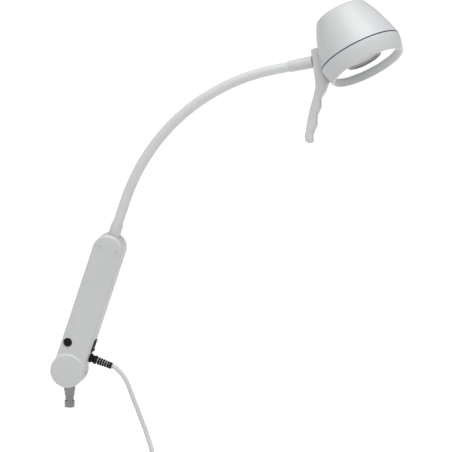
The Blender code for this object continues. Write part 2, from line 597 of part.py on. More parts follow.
NECK_LENGTH = NECK_LEAD + NECK_BEND_RADIUS * NECK_TURN + NECK_TAIL
CORE_RADIUS = NECK_RADIUS - SLEEVE_WALL - CORE_CLEARANCE
JOINT_SPACING = (NECK_LENGTH - FIRST_JOINT - LAST_JOINT_LEAD) / (NECK_JOINTS - 1)
JOINT_AT = [FIRST_JOINT + JOINT_SPACING * i for i in range(NECK_JOINTS)]


def neck_run(start, end, steps):
    """Places spaced evenly along the centreline, both ends included."""
    return [neck_place(start + (end - start) * i / steps) for i in range(steps + 1)]


def ball_rings(pivot, radius, rows=3):
    """Rings of a half ball round a pivot, up to its pole."""
    rings = []
    for i in range(1, rows + 1):
        angle = math.pi / 2 * i / rows
        width = radius * math.cos(angle) if i < rows else 0.0
        rings.append((pivot @ along(z=radius * math.sin(angle)), width))
    return rings


def socket_rings(pivot, radius, core, rows=3):
    """Rings of the hollow that takes the ball, from its deepest point out to the core's surface."""
    widest = math.acos(core / radius)
    rings = [(pivot @ along(z=radius), 0.0)]
    for i in range(1, rows + 1):
        angle = math.pi / 2 + (widest - math.pi / 2) * i / rows
        rings.append((pivot @ along(z=radius * math.sin(angle)), radius * math.cos(angle)))
    return rings


def build_neck(arm, sleeve_finish, steel):
    """The root held in the box and the links that follow it, each with a core and a sleeve."""
    carriers = [arm]
    for index, distance in enumerate(JOINT_AT):
        place = world(carriers[-1]).inverted() @ neck_place(distance)
        carriers.append(frame(f"neck_joint_{index + 1}", place, carriers[-1]))
    ends = JOINT_AT + [NECK_LENGTH + FERRULE_GRIP]
    for index, carrier in enumerate(carriers):
        label = f"{index}" if index else "root"
        start = JOINT_AT[index - 1] if index else -NECK_GRIP
        end = ends[index]
        last = index == NECK_JOINTS
        inside = world(carrier).inverted()
        sleeve_start = start + (LINK_GAP if index else 0.0)
        sleeve_end = end - (GAP if last else LINK_GAP)
        steps = max(2, round((sleeve_end - sleeve_start) / (22 * MM)))
        run = [inside @ place for place in neck_run(sleeve_start, sleeve_end, steps)]
        outer = [(place, NECK_RADIUS) for place in run]
        bore = [(place, NECK_RADIUS - SLEEVE_WALL) for place in run]
        add(f"neck_sleeve_{label}", sweep(outer, 16, bore), sleeve_finish, carrier)
        if index:
            begin = [(inside @ place, radius) for place, radius in
                     socket_rings(neck_place(start), CORE_RADIUS + GAP, CORE_RADIUS)]
            core_start = start + (CORE_RADIUS + GAP) * math.sin(math.acos(CORE_RADIUS / (CORE_RADIUS + GAP)))
        else:
            begin = []
            core_start = start
        core_end = end - (GAP if last else 0.0)
        middle = neck_run(core_start, core_end, steps)[1 if index else 0:]
        body = [(inside @ place, CORE_RADIUS) for place in middle]
        finish = [] if last else [(inside @ place, radius) for place, radius in
                                  ball_rings(neck_place(end), CORE_RADIUS)]
        add(f"neck_core_{label}", sweep(begin + body + finish, 12), steel, carrier)
    return carriers[-1]


# ------------------------------------------------------------------ ferrule and head
def cup_profile(offset=0.0):
    """The cup's outer side as (radius, height), from its lower edge to the crown's centre."""
    edge = RING_HEIGHT / 2 + GAP
    start = (RING_RADIUS, edge)
    shoulder = (CUP_SHOULDER_RADIUS, CUP_SHOULDER_HEIGHT)
    top = (CUP_TOP_RADIUS, CUP_HEIGHT - 0.9 * MM)
    corner = (CUP_SHOULDER_RADIUS - 2.8 * MM, CUP_HEIGHT - 1.0 * MM)
    points = [start] + bezier(start, CUP_BULGE, shoulder, 4) + bezier(shoulder, corner, top, 4)
    points += [(CUP_TOP_RADIUS / 2, CUP_HEIGHT - 0.25 * MM), (0, CUP_HEIGHT)]
    if not offset:
        return points
    moved = []
    for index, (radius, height) in enumerate(points):
        before = points[max(index - 1, 0)]
        after = points[min(index + 1, len(points) - 1)]
        run, rise = after[0] - before[0], after[1] - before[1]
        size = math.hypot(run, rise)
        moved.append((max(0.0, radius + offset * rise / size), height - offset * run / size))
    moved[0] = (moved[0][0], edge)
    moved[-1] = (0.0, moved[-1][1])
    return moved


def build_head(swivel, white, accent, mirror, black, glass, alloy, board_green):
    """Cup, trim ring, bezel, pane, reflector, light column and heat sink, on the light's axis."""
    axis = frame("light_axis", turn(-HEAD_TILT, "Y"), swivel)
    edge = RING_HEIGHT / 2 + GAP
    outer = cup_profile()
    inner = cup_profile(-CUP_WALL)
    shell = open_shell(outer, inner, HEAD_SIDES)
    add("head_shell", shell, white, axis)
    trim = [(RING_RADIUS - 4 * MM, -RING_HEIGHT / 2), (RING_RADIUS - RING_RECESS, -RING_HEIGHT / 2),
            (RING_RADIUS - RING_RECESS, RING_HEIGHT / 2), (RING_RADIUS - 4 * MM, RING_HEIGHT / 2)]
    add("trim_ring", lathe(trim, HEAD_SIDES, closed=True), accent, axis)
    lip = BEZEL_LIP_RADIUS
    ledge = GLASS_RADIUS - 3 * MM
    ledge_level = -GLASS_LEVEL - GLASS_THICKNESS - GAP
    bezel = [(RING_RADIUS - BEZEL_WALL, -edge), (RING_RADIUS, -edge),
             (RING_RADIUS - 1.2 * MM, -BEZEL_HEIGHT * 0.35),
             (lip + 2.6 * MM, -BEZEL_HEIGHT * 0.8), (lip + 1.2 * MM, -BEZEL_HEIGHT * 0.95),
             (lip - 0.8 * MM, -BEZEL_HEIGHT), (lip - 2.2 * MM, -BEZEL_HEIGHT + 0.8 * MM),
             (ledge, ledge_level - 3 * MM), (ledge, ledge_level), (GLASS_RADIUS + FIT, ledge_level),
             (GLASS_RADIUS + FIT, -GLASS_LEVEL + GAP)]
    add("head_bezel", lathe(bezel, HEAD_SIDES, closed=True), white, axis)
    pane = [(0, -GLASS_LEVEL - GLASS_THICKNESS), (GLASS_RADIUS, -GLASS_LEVEL - GLASS_THICKNESS),
            (GLASS_RADIUS, -GLASS_LEVEL), (0, -GLASS_LEVEL)]
    add("front_pane", lathe(pane, HEAD_SIDES), glass, axis)
    floor = -GLASS_LEVEL + GAP
    rim = GLASS_RADIUS - 1.5 * MM
    top = REFLECTOR_RISE - GLASS_LEVEL
    throat = BARREL_RADIUS + 3 * MM
    curve = [(rim, floor)] + bezier((rim, floor), (rim - 4 * MM, top * 0.75), (throat, top), 4)
    back = [(curve[0][0] + REFLECTOR_WALL, floor)]
    back += [(radius + REFLECTOR_WALL, height + REFLECTOR_WALL * 0.8) for radius, height in curve[1:-1]]
    back += [(throat, top + REFLECTOR_WALL * 0.8)]
    add("reflector", lathe(curve + back[::-1], HEAD_SIDES, closed=True), mirror, axis)
    ring_low = -GLASS_LEVEL + GAP
    ring_high = ring_low + LENS_RING_HEIGHT
    lens_ring = [(BARREL_RADIUS - 4 * MM, ring_low), (BARREL_RADIUS + 0.4 * MM, ring_low),
                 (BARREL_RADIUS + 0.4 * MM, ring_high), (BARREL_RADIUS - 4 * MM, ring_high)]
    add("column_ring", lathe(lens_ring, 32, closed=True), black, axis)
    barrel_low = ring_high + GAP
    barrel_high = barrel_low + BARREL_HEIGHT
    barrel = [(0, barrel_low), (BARREL_RADIUS, barrel_low), (BARREL_RADIUS, barrel_low + 8 * MM),
              (BARREL_RADIUS - 7 * MM, barrel_high), (0, barrel_high)]
    add("light_column", lathe(barrel, 32), white, axis)
    board_low = max(barrel_high, top + REFLECTOR_WALL) + GAP
    board_high = board_low + BOARD_THICKNESS
    board_radius = SINK_RADIUS - 2 * MM
    board = [(0, board_low), (board_radius, board_low), (board_radius, board_high), (0, board_high)]
    add("led_board", lathe(board, 32), board_green, axis)
    sink_low = board_high + GAP
    sink_high = sink_low + SINK_BASE
    base = [(0, sink_low), (SINK_RADIUS, sink_low), (SINK_RADIUS, sink_high), (0, sink_high)]
    sink = add("heat_sink", lathe(base, 32), alloy, axis)
    pitch = 2 * SINK_RADIUS * 0.8 / SINK_FINS
    for fin in range(SINK_FINS):
        across = (fin - (SINK_FINS - 1) / 2) * pitch
        reach = 2 * math.sqrt((SINK_RADIUS * 0.9) ** 2 - across ** 2)
        blade = box((1.6 * MM, reach, SINK_FIN_HEIGHT + 2 * MM))
        height = sink_high + SINK_FIN_HEIGHT / 2 - MM
        cut(sink, f"fin_{fin}", blade, axis, along(across, 0, height), "UNION")
    return axis


def open_shell(outer, inner, segments):
    """A turned bell: both profiles run from the open edge to the axis, and the edge joins them."""
    bell = bmesh.new()
    skins = []
    for profile in (outer, inner):
        rows = []
        for radius, height in profile:
            if radius < 1e-7:
                rows.append([bell.verts.new((0, 0, height))])
                continue
            angles = [2 * math.pi * i / segments for i in range(segments)]
            rows.append([bell.verts.new((radius * math.cos(a), radius * math.sin(a), height))
                         for a in angles])
        skins.append(rows)
    pairs = [pair for rows in skins for pair in zip(rows, rows[1:])] + [(skins[0][0], skins[1][0])]
    for low, high in pairs:
        for i in range(segments):
            j = (i + 1) % segments
            corners = [low[i % len(low)], low[j % len(low)], high[j % len(high)], high[i % len(high)]]
            bell.faces.new(list(dict.fromkeys(corners)))
    return bell


def handle_outline():
    """The bracket and its handle seen from the side, as (x, z) from the head's centre."""
    back = -BRACKET_BACK
    root_drop = 44 * MM
    root = (back - 0.5 * MM + HANDLE_THICKNESS / 2, -root_drop)
    tip = (-HANDLE_TIP_BACK, -HANDLE_DROP)
    run = Vector((tip[0] - root[0], tip[1] - root[1]))
    length = run.length
    run.normalize()
    side = Vector((-run.y, run.x))
    outline = [(back, 12 * MM), (back + 2 * MM, 17 * MM), (back + 7 * MM, 20 * MM),
               (-CUP_SHOULDER_RADIUS - 16 * MM, 20 * MM), (-CUP_SHOULDER_RADIUS - 14 * MM, -36 * MM)]
    steps = 24
    for i in range(2, steps + 1):
        distance = length * i / steps - 5 * MM
        wave = GROOVE_DEPTH * (1 + math.cos(2 * math.pi * (distance - GROOVE_START) / GROOVE_PITCH)) / 2
        blend = max(0.0, 1 - i / 6) * 4 * MM
        point = Vector(root) + run * distance + side * (HANDLE_THICKNESS / 2 - wave + blend)
        outline.append(tuple(point))
    end = Vector(root) + run * (length - 5 * MM)
    radius = HANDLE_THICKNESS / 2
    heading = math.atan2(side.y, side.x)
    outline += arc(end, radius, heading - math.pi / 6, heading - math.pi + math.pi / 6, 5)
    for i in (20, 16, 12, 8, 4):
        half = HANDLE_THICKNESS / 2 + HANDLE_BOW * math.sin(math.pi * i / steps)
        outline.append(tuple(Vector(root) + run * (length * i / steps) - side * half))
    outline += [(back - 0.6 * MM, -root_drop), (back, -20 * MM)]
    return outline


def build_bracket(swivel, axis, white, acetal):
    """The bracket with its moulded handle, and the bush that turns on the ferrule's pin."""
    outline = handle_outline()
    body = prism(outline, -HANDLE_WIDTH / 2, HANDLE_WIDTH / 2, 1.6 * MM)
    bracket = add("handle_bracket", body, white, swivel)
    clearance = [(radius, height) for radius, height in cup_profile(GAP)]
    cutter = [(0, -BEZEL_HEIGHT - 2 * MM), (BEZEL_LIP_RADIUS + GAP, -BEZEL_HEIGHT - 2 * MM),
              (BEZEL_LIP_RADIUS + 2.6 * MM + GAP, -BEZEL_HEIGHT * 0.8),
              (RING_RADIUS - 1.2 * MM + GAP, -BEZEL_HEIGHT * 0.35), (RING_RADIUS + GAP, 0)]
    cut(bracket, "cup_seat", lathe(cutter + clearance, HEAD_SIDES), axis)
    bore_radius = SWIVEL_PIN_RADIUS + FIT + BUSH_WALL + GAP
    start = -BRACKET_BACK
    end = start + SWIVEL_PIN_REACH
    bore = lathe([(bore_radius, start - MM), (bore_radius, end + GAP)], 24)
    cut(bracket, "bush_bore", bore, swivel, turn(math.pi / 2, "Y"))
    inner = SWIVEL_PIN_RADIUS + FIT
    outer = inner + BUSH_WALL
    bush = lathe([(inner, start), (outer, start), (outer, end), (inner, end)], 24, closed=True)
    add("swivel_bush", bush, acetal, swivel, turn(math.pi / 2, "Y"))


def build_ferrule(last_link, white, steel):
    """The conical ferrule on the neck's end and the pin that the head turns on."""
    place = world(last_link).inverted() @ neck_place(NECK_LENGTH)
    end = frame("ferrule_frame", place, last_link)
    bore = NECK_RADIUS + GAP
    gap_to_bracket = HEAD_REACH - BRACKET_BACK - GAP
    profile = [(bore, 0), (FERRULE_LIP_RADIUS, 0), (FERRULE_LIP_RADIUS + 0.2 * MM, 1 * MM),
               (FERRULE_END_RADIUS, gap_to_bracket - 1 * MM), (FERRULE_END_RADIUS - 0.6 * MM, gap_to_bracket),
               (SWIVEL_PIN_RADIUS + GAP, gap_to_bracket), (SWIVEL_PIN_RADIUS + GAP, FERRULE_GRIP + GAP),
               (bore, FERRULE_GRIP + GAP)]
    add("neck_ferrule", lathe(profile, 32, closed=True), white, end)
    foot = FERRULE_GRIP + 2 * GAP
    tip = HEAD_REACH - BRACKET_BACK + SWIVEL_PIN_REACH - GAP
    pin = [(0, foot), (SWIVEL_PIN_RADIUS, foot), (SWIVEL_PIN_RADIUS, tip), (0, tip)]
    add("swivel_pin", lathe(pin, 24), steel, end)
    swivel_place = along(z=HEAD_REACH) @ turn(-math.pi / 2, "Y") @ turn(HEAD_SWIVEL, "X")
    return frame("head_swivel", swivel_place, end)


# ------------------------------------------------------------------ mains lead
LEAD_POINTS = [(0.0784, 0.0050, 0.0610), (0.0852, 0.0050, 0.0540), (0.0908, 0.0050, 0.0452),
               (0.0950, 0.0050, 0.0360), (0.0985, 0.0050, 0.0265), (0.1022, 0.0050, 0.0170),
               (0.1060, 0.0050, 0.0075), (0.1097, 0.0050, -0.0020), (0.1134, 0.0050, -0.0115),
               (0.1171, 0.0050, -0.0210), (0.1208, 0.0050, -0.0305), (0.1245, 0.0050, -0.0400),
               (0.1282, 0.0050, -0.0495), (0.1318, 0.0050, -0.0590), (0.1352, 0.0050, -0.0690),
               (0.1383, 0.0050, -0.0790), (0.1408, 0.0050, -0.0870)]


def cord_tube(name, points, finish, carrier):
    """A round lead along a smooth run of points, closed at both ends."""
    curve = bpy.data.curves.new(name, "CURVE")
    curve.dimensions = "3D"
    curve.bevel_depth = CORD_RADIUS
    curve.bevel_resolution = 2
    curve.use_fill_caps = True
    spline = curve.splines.new("POLY")
    spline.points.add(len(points) - 1)
    inside = world(carrier).inverted()
    for point, place in zip(spline.points, points):
        point.co = (*(inside @ Vector(place)), 1.0)
    curve.materials.append(finish)
    tube = bpy.data.objects.new(name, curve)
    bpy.context.collection.objects.link(tube)
    tube.parent = carrier
    return tube


def build_lead(arm, cord_grey, black, nickel):
    """The mains lead, its tied coil, and the plug."""
    relief_tip = BOX_WIDTH / 2 + RELIEF_LENGTH + 2 * GAP
    exit_place = world(arm) @ Vector((relief_tip, SIDE_FITTING_DEPTH, RELIEF_ALONG))
    direction = (world(arm).to_3x3() @ Vector((1, 0, 0))).normalized()
    first = [exit_place, exit_place + direction * 5 * MM]
    coil_top = Vector(COIL_CENTRE) + Vector((0, 0, COIL_RADIUS + COIL_THICKNESS / 2 + MM))
    cord_tube("cord_lead", first + [Vector(p) for p in LEAD_POINTS] + [coil_top], cord_grey, arm)
    half = COIL_WIDTH / 2
    inner = COIL_RADIUS - COIL_THICKNESS / 2
    outer = COIL_RADIUS + COIL_THICKNESS / 2
    soft = 5 * MM
    section = [(inner + soft, -half), (outer - soft, -half), (outer, -half + soft), (outer, half - soft),
               (outer - soft, half), (inner + soft, half), (inner, half - soft), (inner, -half + soft)]
    spool = frame("coil_frame", world(arm).inverted() @ along(*COIL_CENTRE) @ turn(math.pi / 2, "X"), arm)
    add("cord_coil", lathe(section, 32, closed=True), cord_grey, spool)
    reach = COIL_THICKNESS / 2 + 3 * GAP
    band = [(x * reach, y * (half + GAP)) for x, y in ((-1, -1), (1, -1), (1, 1), (-1, 1))]
    tie = bmesh.new()
    rows = []
    for grow, height in ((0, -TIE_WIDTH / 2), (TIE_THICKNESS, -TIE_WIDTH / 2),
                         (TIE_THICKNESS, TIE_WIDTH / 2), (0, TIE_WIDTH / 2)):
        rows.append([tie.verts.new((x + math.copysign(grow, x), y + math.copysign(grow, y), height))
                     for x, y in band])
    for low, high in zip(rows, rows[1:] + rows[:1]):
        for i in range(4):
            tie.faces.new([low[i], low[(i + 1) % 4], high[(i + 1) % 4], high[i]])
    tie_place = turn(math.radians(200), "Z") @ along(x=COIL_RADIUS) @ turn(math.pi / 2, "X")
    add("cord_tie", tie, black, spool, tie_place)
    tail_top = Vector((PLUG_TOP[0], PLUG_TOP[1], COIL_CENTRE[2]
                       - math.sqrt(outer ** 2 - (PLUG_TOP[0] - COIL_CENTRE[0]) ** 2) - 1.5 * MM))
    count = 4
    tail = [tail_top.lerp(Vector(PLUG_TOP), i / count) for i in range(count)] + [Vector(PLUG_TOP)]
    cord_tube("cord_tail", tail, cord_grey, arm)
    plug = frame("plug_frame", world(arm).inverted() @ along(*PLUG_TOP) @ along(z=-GAP), arm)
    shape = [(0, 0), (CORD_RADIUS + 1.2 * MM, 0), (CORD_RADIUS + 2.2 * MM, -PLUG_NECK_LENGTH * 0.7),
             (PLUG_RADIUS * 0.6, -PLUG_NECK_LENGTH), (PLUG_RADIUS, -PLUG_NECK_LENGTH - 5 * MM),
             (PLUG_RADIUS, -PLUG_NECK_LENGTH - PLUG_LENGTH), (0, -PLUG_NECK_LENGTH - PLUG_LENGTH)]
    add("plug_body", lathe(shape, 32), black, plug)
    top = -PLUG_NECK_LENGTH - PLUG_LENGTH - GAP
    for side, name in ((-1, "left"), (1, "right")):
        pin = lathe([(0, top), (PLUG_PIN_RADIUS, top), (PLUG_PIN_RADIUS, top - PLUG_PIN_LENGTH + MM),
                     (PLUG_PIN_RADIUS - MM, top - PLUG_PIN_LENGTH), (0, top - PLUG_PIN_LENGTH)], 16)
        add(f"plug_pin_{name}", pin, nickel, plug, along(x=side * PLUG_PIN_SPACING / 2))


def main():
    """Build the lamp from its spigot to its plug."""
    for old in list(bpy.data.objects):
        bpy.data.objects.remove(old, do_unlink=True)
    white = material("light_grey_plastic", "D9DADB", 0.42)
    sleeve = material("neck_sleeve_plastic", "D2D3D4", 0.5)
    black = material("black_plastic", "1E1E20", 0.5)
    steel = material("turned_steel", "8E908C", 0.35, 1.0)
    zinc = material("zinc_casting", "9A9C9E", 0.5, 1.0)
    friction = material("friction_lining", "4A4036", 0.8)
    board_green = material("circuit_board", "1F5A38", 0.55)
    accent = material("blue_trim", "2E3A73", 0.4)
    mirror = material("white_reflector", "F4F5F6", 0.25)
    glass = material("clear_pane", "F2F6F8", 0.05)
    alloy = material("aluminium", "B7B9BC", 0.4, 1.0)
    acetal = material("bush_plastic", "C9B27A", 0.5)
    cord_grey = material("lead_jacket", "C6C7C8", 0.55)
    hinge = build_spigot(steel)
    arm = frame("arm_tilt", turn(ARM_LEAN, "Y"), hinge)
    build_hinge(arm, steel, zinc, friction)
    shell = build_box(arm, white)
    build_neck_hold(arm, white, zinc)
    build_fittings(arm, shell, white, steel, board_green, zinc)
    build_button(arm, black, steel)
    build_rocker(arm, black)
    build_relief(arm, black)
    last_link = build_neck(arm, sleeve, steel)
    swivel = build_ferrule(last_link, white, steel)
    axis = build_head(swivel, white, accent, mirror, black, glass, alloy, board_green)
    build_bracket(swivel, axis, white, acetal)
    build_lead(arm, cord_grey, black, steel)


main()
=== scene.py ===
"""Looks of the examination lamp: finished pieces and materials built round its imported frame.

Metres, in the frame's own axes: +Z up along the mounting spigot, -Y towards the control box's front.
"""
import json
import logging
import math
from collections.abc import Callable, Sequence
from dataclasses import dataclass, field
from enum import Enum

import bmesh
import bpy
from mathutils import Matrix, Vector


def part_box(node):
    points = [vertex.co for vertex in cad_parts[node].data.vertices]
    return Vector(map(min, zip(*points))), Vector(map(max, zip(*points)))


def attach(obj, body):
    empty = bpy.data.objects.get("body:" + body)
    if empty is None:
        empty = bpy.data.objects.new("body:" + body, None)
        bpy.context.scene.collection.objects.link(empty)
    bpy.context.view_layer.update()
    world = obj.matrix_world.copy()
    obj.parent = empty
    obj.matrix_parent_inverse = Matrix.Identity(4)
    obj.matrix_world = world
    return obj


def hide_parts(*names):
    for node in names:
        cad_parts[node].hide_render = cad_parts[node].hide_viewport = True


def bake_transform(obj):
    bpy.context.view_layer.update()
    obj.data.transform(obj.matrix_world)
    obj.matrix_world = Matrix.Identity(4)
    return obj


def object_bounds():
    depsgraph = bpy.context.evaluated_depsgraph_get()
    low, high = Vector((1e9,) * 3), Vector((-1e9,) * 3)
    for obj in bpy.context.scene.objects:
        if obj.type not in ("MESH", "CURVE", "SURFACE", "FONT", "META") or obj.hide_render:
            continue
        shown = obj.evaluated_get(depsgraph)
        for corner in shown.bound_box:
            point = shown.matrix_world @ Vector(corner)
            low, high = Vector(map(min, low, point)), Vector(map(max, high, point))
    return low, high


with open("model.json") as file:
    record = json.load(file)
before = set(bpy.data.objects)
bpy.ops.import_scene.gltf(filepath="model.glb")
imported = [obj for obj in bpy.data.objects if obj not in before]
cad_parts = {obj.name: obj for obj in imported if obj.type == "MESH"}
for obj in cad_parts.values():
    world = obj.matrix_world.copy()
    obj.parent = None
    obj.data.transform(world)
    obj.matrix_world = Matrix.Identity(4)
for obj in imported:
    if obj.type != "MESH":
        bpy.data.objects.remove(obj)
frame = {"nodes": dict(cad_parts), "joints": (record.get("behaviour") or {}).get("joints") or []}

CAD_BOX = [[float(value) for value in corner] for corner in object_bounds()]
MM = 0.001
GAP = 0.3 * MM  # clearance between pieces that touch
WELD = 2e-6  # points nearer than this are merged
LEVEL = 1e-7  # how near a point is to count as lying on a plane
WHOLE_TURN = 2 * math.pi
LOG = logging.getLogger("examination_lamp")

Point2 = tuple[float, float]
Corner = tuple[float, float, float]
Piece = bpy.types.Object


# ------------------------------------------------------------------ places in the frame
def joint(name: str) -> dict:
    """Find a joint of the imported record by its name.

    Args:
        name: the joint's name in the record.

    Returns:
        The joint's entry.
    """
    return next(entry for entry in frame["joints"] if entry["name"] == name)


def at(x: float = 0.0, y: float = 0.0, z: float = 0.0) -> Matrix:
    """A move by (x, y, z)."""
    return Matrix.Translation((x, y, z))


def turned_by(degrees: float, axis: str) -> Matrix:
    """A turn about one of the axes X, Y and Z."""
    return Matrix.Rotation(math.radians(degrees), 4, axis)


PIVOT = Vector(joint("arm_tilt")["pos_m"])
NECK_FOOT = Vector(joint("neck_bend_1")["pos_m"])
ARM_LEAN = math.degrees(math.atan2(NECK_FOOT.x - PIVOT.x, NECK_FOOT.z - PIVOT.z))
ARM = Matrix.Translation(PIVOT) @ turned_by(ARM_LEAN, "Y")
SWIVEL_AXIS = Vector(joint("head_swivel")["axis"]).normalized()
HEAD_SWIVEL = -19.4
HEAD_TILT = 18.65
HEAD_CENTRE = sum((Vector(corner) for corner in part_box("trim_ring")), Vector()) / 2
SWIVEL = Matrix.Translation(HEAD_CENTRE) @ turned_by(
    math.degrees(math.atan2(SWIVEL_AXIS.x, SWIVEL_AXIS.z)) - 90, "Y") @ turned_by(HEAD_SWIVEL, "X")
LIGHT = SWIVEL @ turned_by(-HEAD_TILT, "Y")


# ------------------------------------------------------------------ finishes
class Grain(Enum):
    """How a surface was made, which sets the pattern of its bump."""

    MOULDED = "spark-eroded mould"
    EXTRUDED = "drawn through a die"
    TURNED = "turned on a lathe"
    CAST = "pressure die-cast"
    SMOOTH = "polished mould"


def linear(hex_colour: str) -> tuple[float, float, float, float]:
    """Turn an sRGB hex colour into a linear one.

    Args:
        hex_colour: six hex digits.

    Returns:
        Linear red, green, blue and an alpha of one.
    """
    channels = [int(hex_colour[i:i + 2], 16) / 255 for i in (0, 2, 4)]
    red, green, blue = (c / 12.92 if c <= 0.04045 else ((c + 0.055) / 1.055) ** 2.4 for c in channels)
    return red, green, blue, 1.0


def per_mm(size: float) -> float:
    """The scale of a noise, in Object coordinates, whose features are this many millimetres wide."""
    return 1.0 / (size * MM)


def add_node(tree: bpy.types.NodeTree, kind: str, sockets: dict | None = None,
             **settings: object) -> bpy.types.Node:
    """Add a node with its settings, values and incoming links.

    Args:
        tree: the node tree.
        kind: the node's type name.
        sockets: for an input's name or number, its value or the output that feeds it.
        settings: properties of the node.

    Returns:
        The node.
    """
    node = tree.nodes.new(kind)
    for name, value in settings.items():
        setattr(node, name, value)
    for name, value in (sockets or {}).items():
        if isinstance(value, bpy.types.NodeSocket):
            tree.links.new(value, node.inputs[name])
        else:
            node.inputs[name].default_value = value
    return node


TOUCH_MM = 35.0
WEAR = 0.06


@dataclass(frozen=True)
class Finish:
    """A finish: what the surface is made of and how it was made."""

    name: str
    colour: str
    roughness: float
    grain: Grain = Grain.SMOOTH
    grain_mm: float = 1.0
    depth_mm: float = 0.02
    shade: str = ""
    metallic: float = 0.0
    ior: float = 1.5
    coat: float = 0.0
    transmission: float = 0.0
    painted_glow: float = 0.0

    def height(self, tree: bpy.types.NodeTree, spot: bpy.types.NodeSocket) -> bpy.types.NodeSocket:
        """Pattern of the surface's relief.

        Args:
            tree: the material's node tree.
            spot: coordinates on the piece.

        Returns:
            The socket that gives the height, from 0 to 1.
        """
        if self.grain is Grain.TURNED:
            marks = add_node(tree, "ShaderNodeTexWave", {
                "Vector": spot, "Scale": per_mm(self.grain_mm) / 20, "Distortion": 0.6,
                "Detail": 2.0, "Detail Scale": 1.4}, wave_type="BANDS", bands_direction="Z")
            return marks.outputs["Fac"]
        stretch = (1.0, 1.0, 0.06) if self.grain is Grain.EXTRUDED else (1.0, 1.0, 1.0)
        moved = add_node(tree, "ShaderNodeMapping", {"Vector": spot, "Scale": stretch})
        detail = {Grain.CAST: 5.0, Grain.MOULDED: 3.0}.get(self.grain, 1.0)
        noise = add_node(tree, "ShaderNodeTexNoise", {
            "Vector": moved.outputs["Vector"], "Scale": per_mm(self.grain_mm), "Detail": detail,
            "Roughness": 0.55})
        return noise.outputs["Fac"]

    def build(self) -> bpy.types.Material:
        """Make the node material.

        Returns:
            The material.
        """
        made = bpy.data.materials.new(self.name)
        made.use_nodes = True
        tree = made.node_tree
        shader = tree.nodes["Principled BSDF"]
        shader.inputs["Metallic"].default_value = self.metallic
        shader.inputs["IOR"].default_value = self.ior
        shader.inputs["Coat Weight"].default_value = self.coat
        shader.inputs["Transmission Weight"].default_value = self.transmission
        spot = add_node(tree, "ShaderNodeTexCoord").outputs["Object"]
        # broad unevenness, as wide as a hand's touch, keeps a big face from looking flat
        cloud = add_node(tree, "ShaderNodeTexNoise", {
            "Vector": spot, "Scale": per_mm(TOUCH_MM), "Detail": 2.0, "Roughness": 0.5})
        tint = add_node(tree, "ShaderNodeMix", {
            "Factor": cloud.outputs["Fac"], "A": linear(self.colour),
            "B": linear(self.shade or self.colour)}, data_type="RGBA")
        tree.links.new(tint.outputs[2], shader.inputs["Base Color"])
        relief = self.height(tree, spot)
        worn = add_node(tree, "ShaderNodeMath", {0: cloud.outputs["Fac"], 1: relief}, operation="MULTIPLY")
        rough = add_node(tree, "ShaderNodeMapRange", {
            "Value": worn.outputs[0], "From Min": 0.0, "From Max": 0.6,
            "To Min": max(0.02, self.roughness - WEAR), "To Max": min(1.0, self.roughness + WEAR)})
        tree.links.new(rough.outputs["Result"], shader.inputs["Roughness"])
        bump = add_node(tree, "ShaderNodeBump", {
            "Height": relief, "Distance": self.depth_mm * MM, "Strength": 1.0})
        tree.links.new(bump.outputs["Normal"], shader.inputs["Normal"])
        # painted light: emission in the finish's own colour makes the piece glow in place of light falling on
        # it
        if self.painted_glow:
            shader.inputs["Emission Color"].default_value = linear(self.colour)
            shader.inputs["Emission Strength"].default_value = self.painted_glow
        return made


# Grit finer than half a millimetre doesn't show at this size, so the moulds' grit is drawn at about 1 mm.
# Moulded ABS with a satin texture: a wide soft sheen that follows every rounded edge, and no mirror image.
HOUSING = Finish("satin_abs", "BFC0C1", 0.44, Grain.MOULDED, 1.1, 0.012, "BBBCBD")
# The head's ABS is from a finer mould, so the light runs over its dome a little more sharply.
HEAD_ABS = Finish("satin_abs_head", "BFC0C1", 0.40, Grain.MOULDED, 1.1, 0.008, "BBBCBD")
# The column's ABS drawn a darker grey, as painted shade for the recess of the bowl round it: matt and even.
TOWER_PAINTED_SHADE = Finish("abs_tower_painted_shade", "ACADAF", 0.45, Grain.MOULDED, 1.1, 0.012, "A7A8AA")
# Soft PVC sleeve over a coiled core, which dimples it: matt, with a faintly uneven skin.
SLEEVE = Finish("soft_pvc_sleeve", "C8C9CA", 0.52, Grain.CAST, 2.0, 0.03, "C3C4C5")
# Zinc plate on turned steel: greenish grey, its shine broken up by the lathe's fine rings.
SPIGOT_STEEL = Finish("zinc_plated_steel", "8A8C89", 0.32, Grain.TURNED, 0.7, 0.03, "7A7D7A", metallic=1.0)
# Plain turned steel: the same rings under a whiter, clearer shine.
PIN_STEEL = Finish("bright_steel", "9C9E9F", 0.32, Grain.TURNED, 0.6, 0.02, "8C8F90", metallic=1.0)
# Zinc as it leaves the die: dull, with a coarse cast skin.
ZINC = Finish("die_cast_zinc", "96989B", 0.55, Grain.CAST, 1.6, 0.05, "8A8C90", metallic=1.0)
# Pressed friction lining: brown, dusty and without shine.
LINING = Finish("friction_lining", "4B4036", 0.86, Grain.CAST, 1.0, 0.06, "3B332C")
# Moulded polyamide: near black, with a low grey sheen.
BLACK = Finish("black_polyamide", "0E0E0F", 0.45, Grain.MOULDED, 1.0, 0.02, "131314", ior=1.28)
# Soft black PVC of boot, tie and plug: blacker still, its sheen wide and weak.
BOOT_PVC = Finish("black_soft_pvc", "0A0A0B", 0.60, Grain.MOULDED, 1.4, 0.03, "0F0F10", ior=1.3)
# Solder mask on woven glass: green under lacquer, the weave faintly raised.
BOARD = Finish("solder_mask", "1D5A37", 0.38, Grain.CAST, 2.4, 0.05, "17492D", coat=0.3)
# Dark blue acrylic: deep colour under an even gloss.
TRIM_BLUE = Finish("blue_acrylic", "141B4A", 0.34, Grain.MOULDED, 1.0, 0.01, "182052", ior=1.3)
# Gloss white reflector with a painted glow: its emission stands in for light, so it shows hardly any shade.
BOWL = Finish("gloss_white_reflector_painted_glow", "FAFBFC", 0.18, Grain.SMOOTH, 6.0, 0.01, "F6F8FA", coat=0.2, painted_glow=0.7)
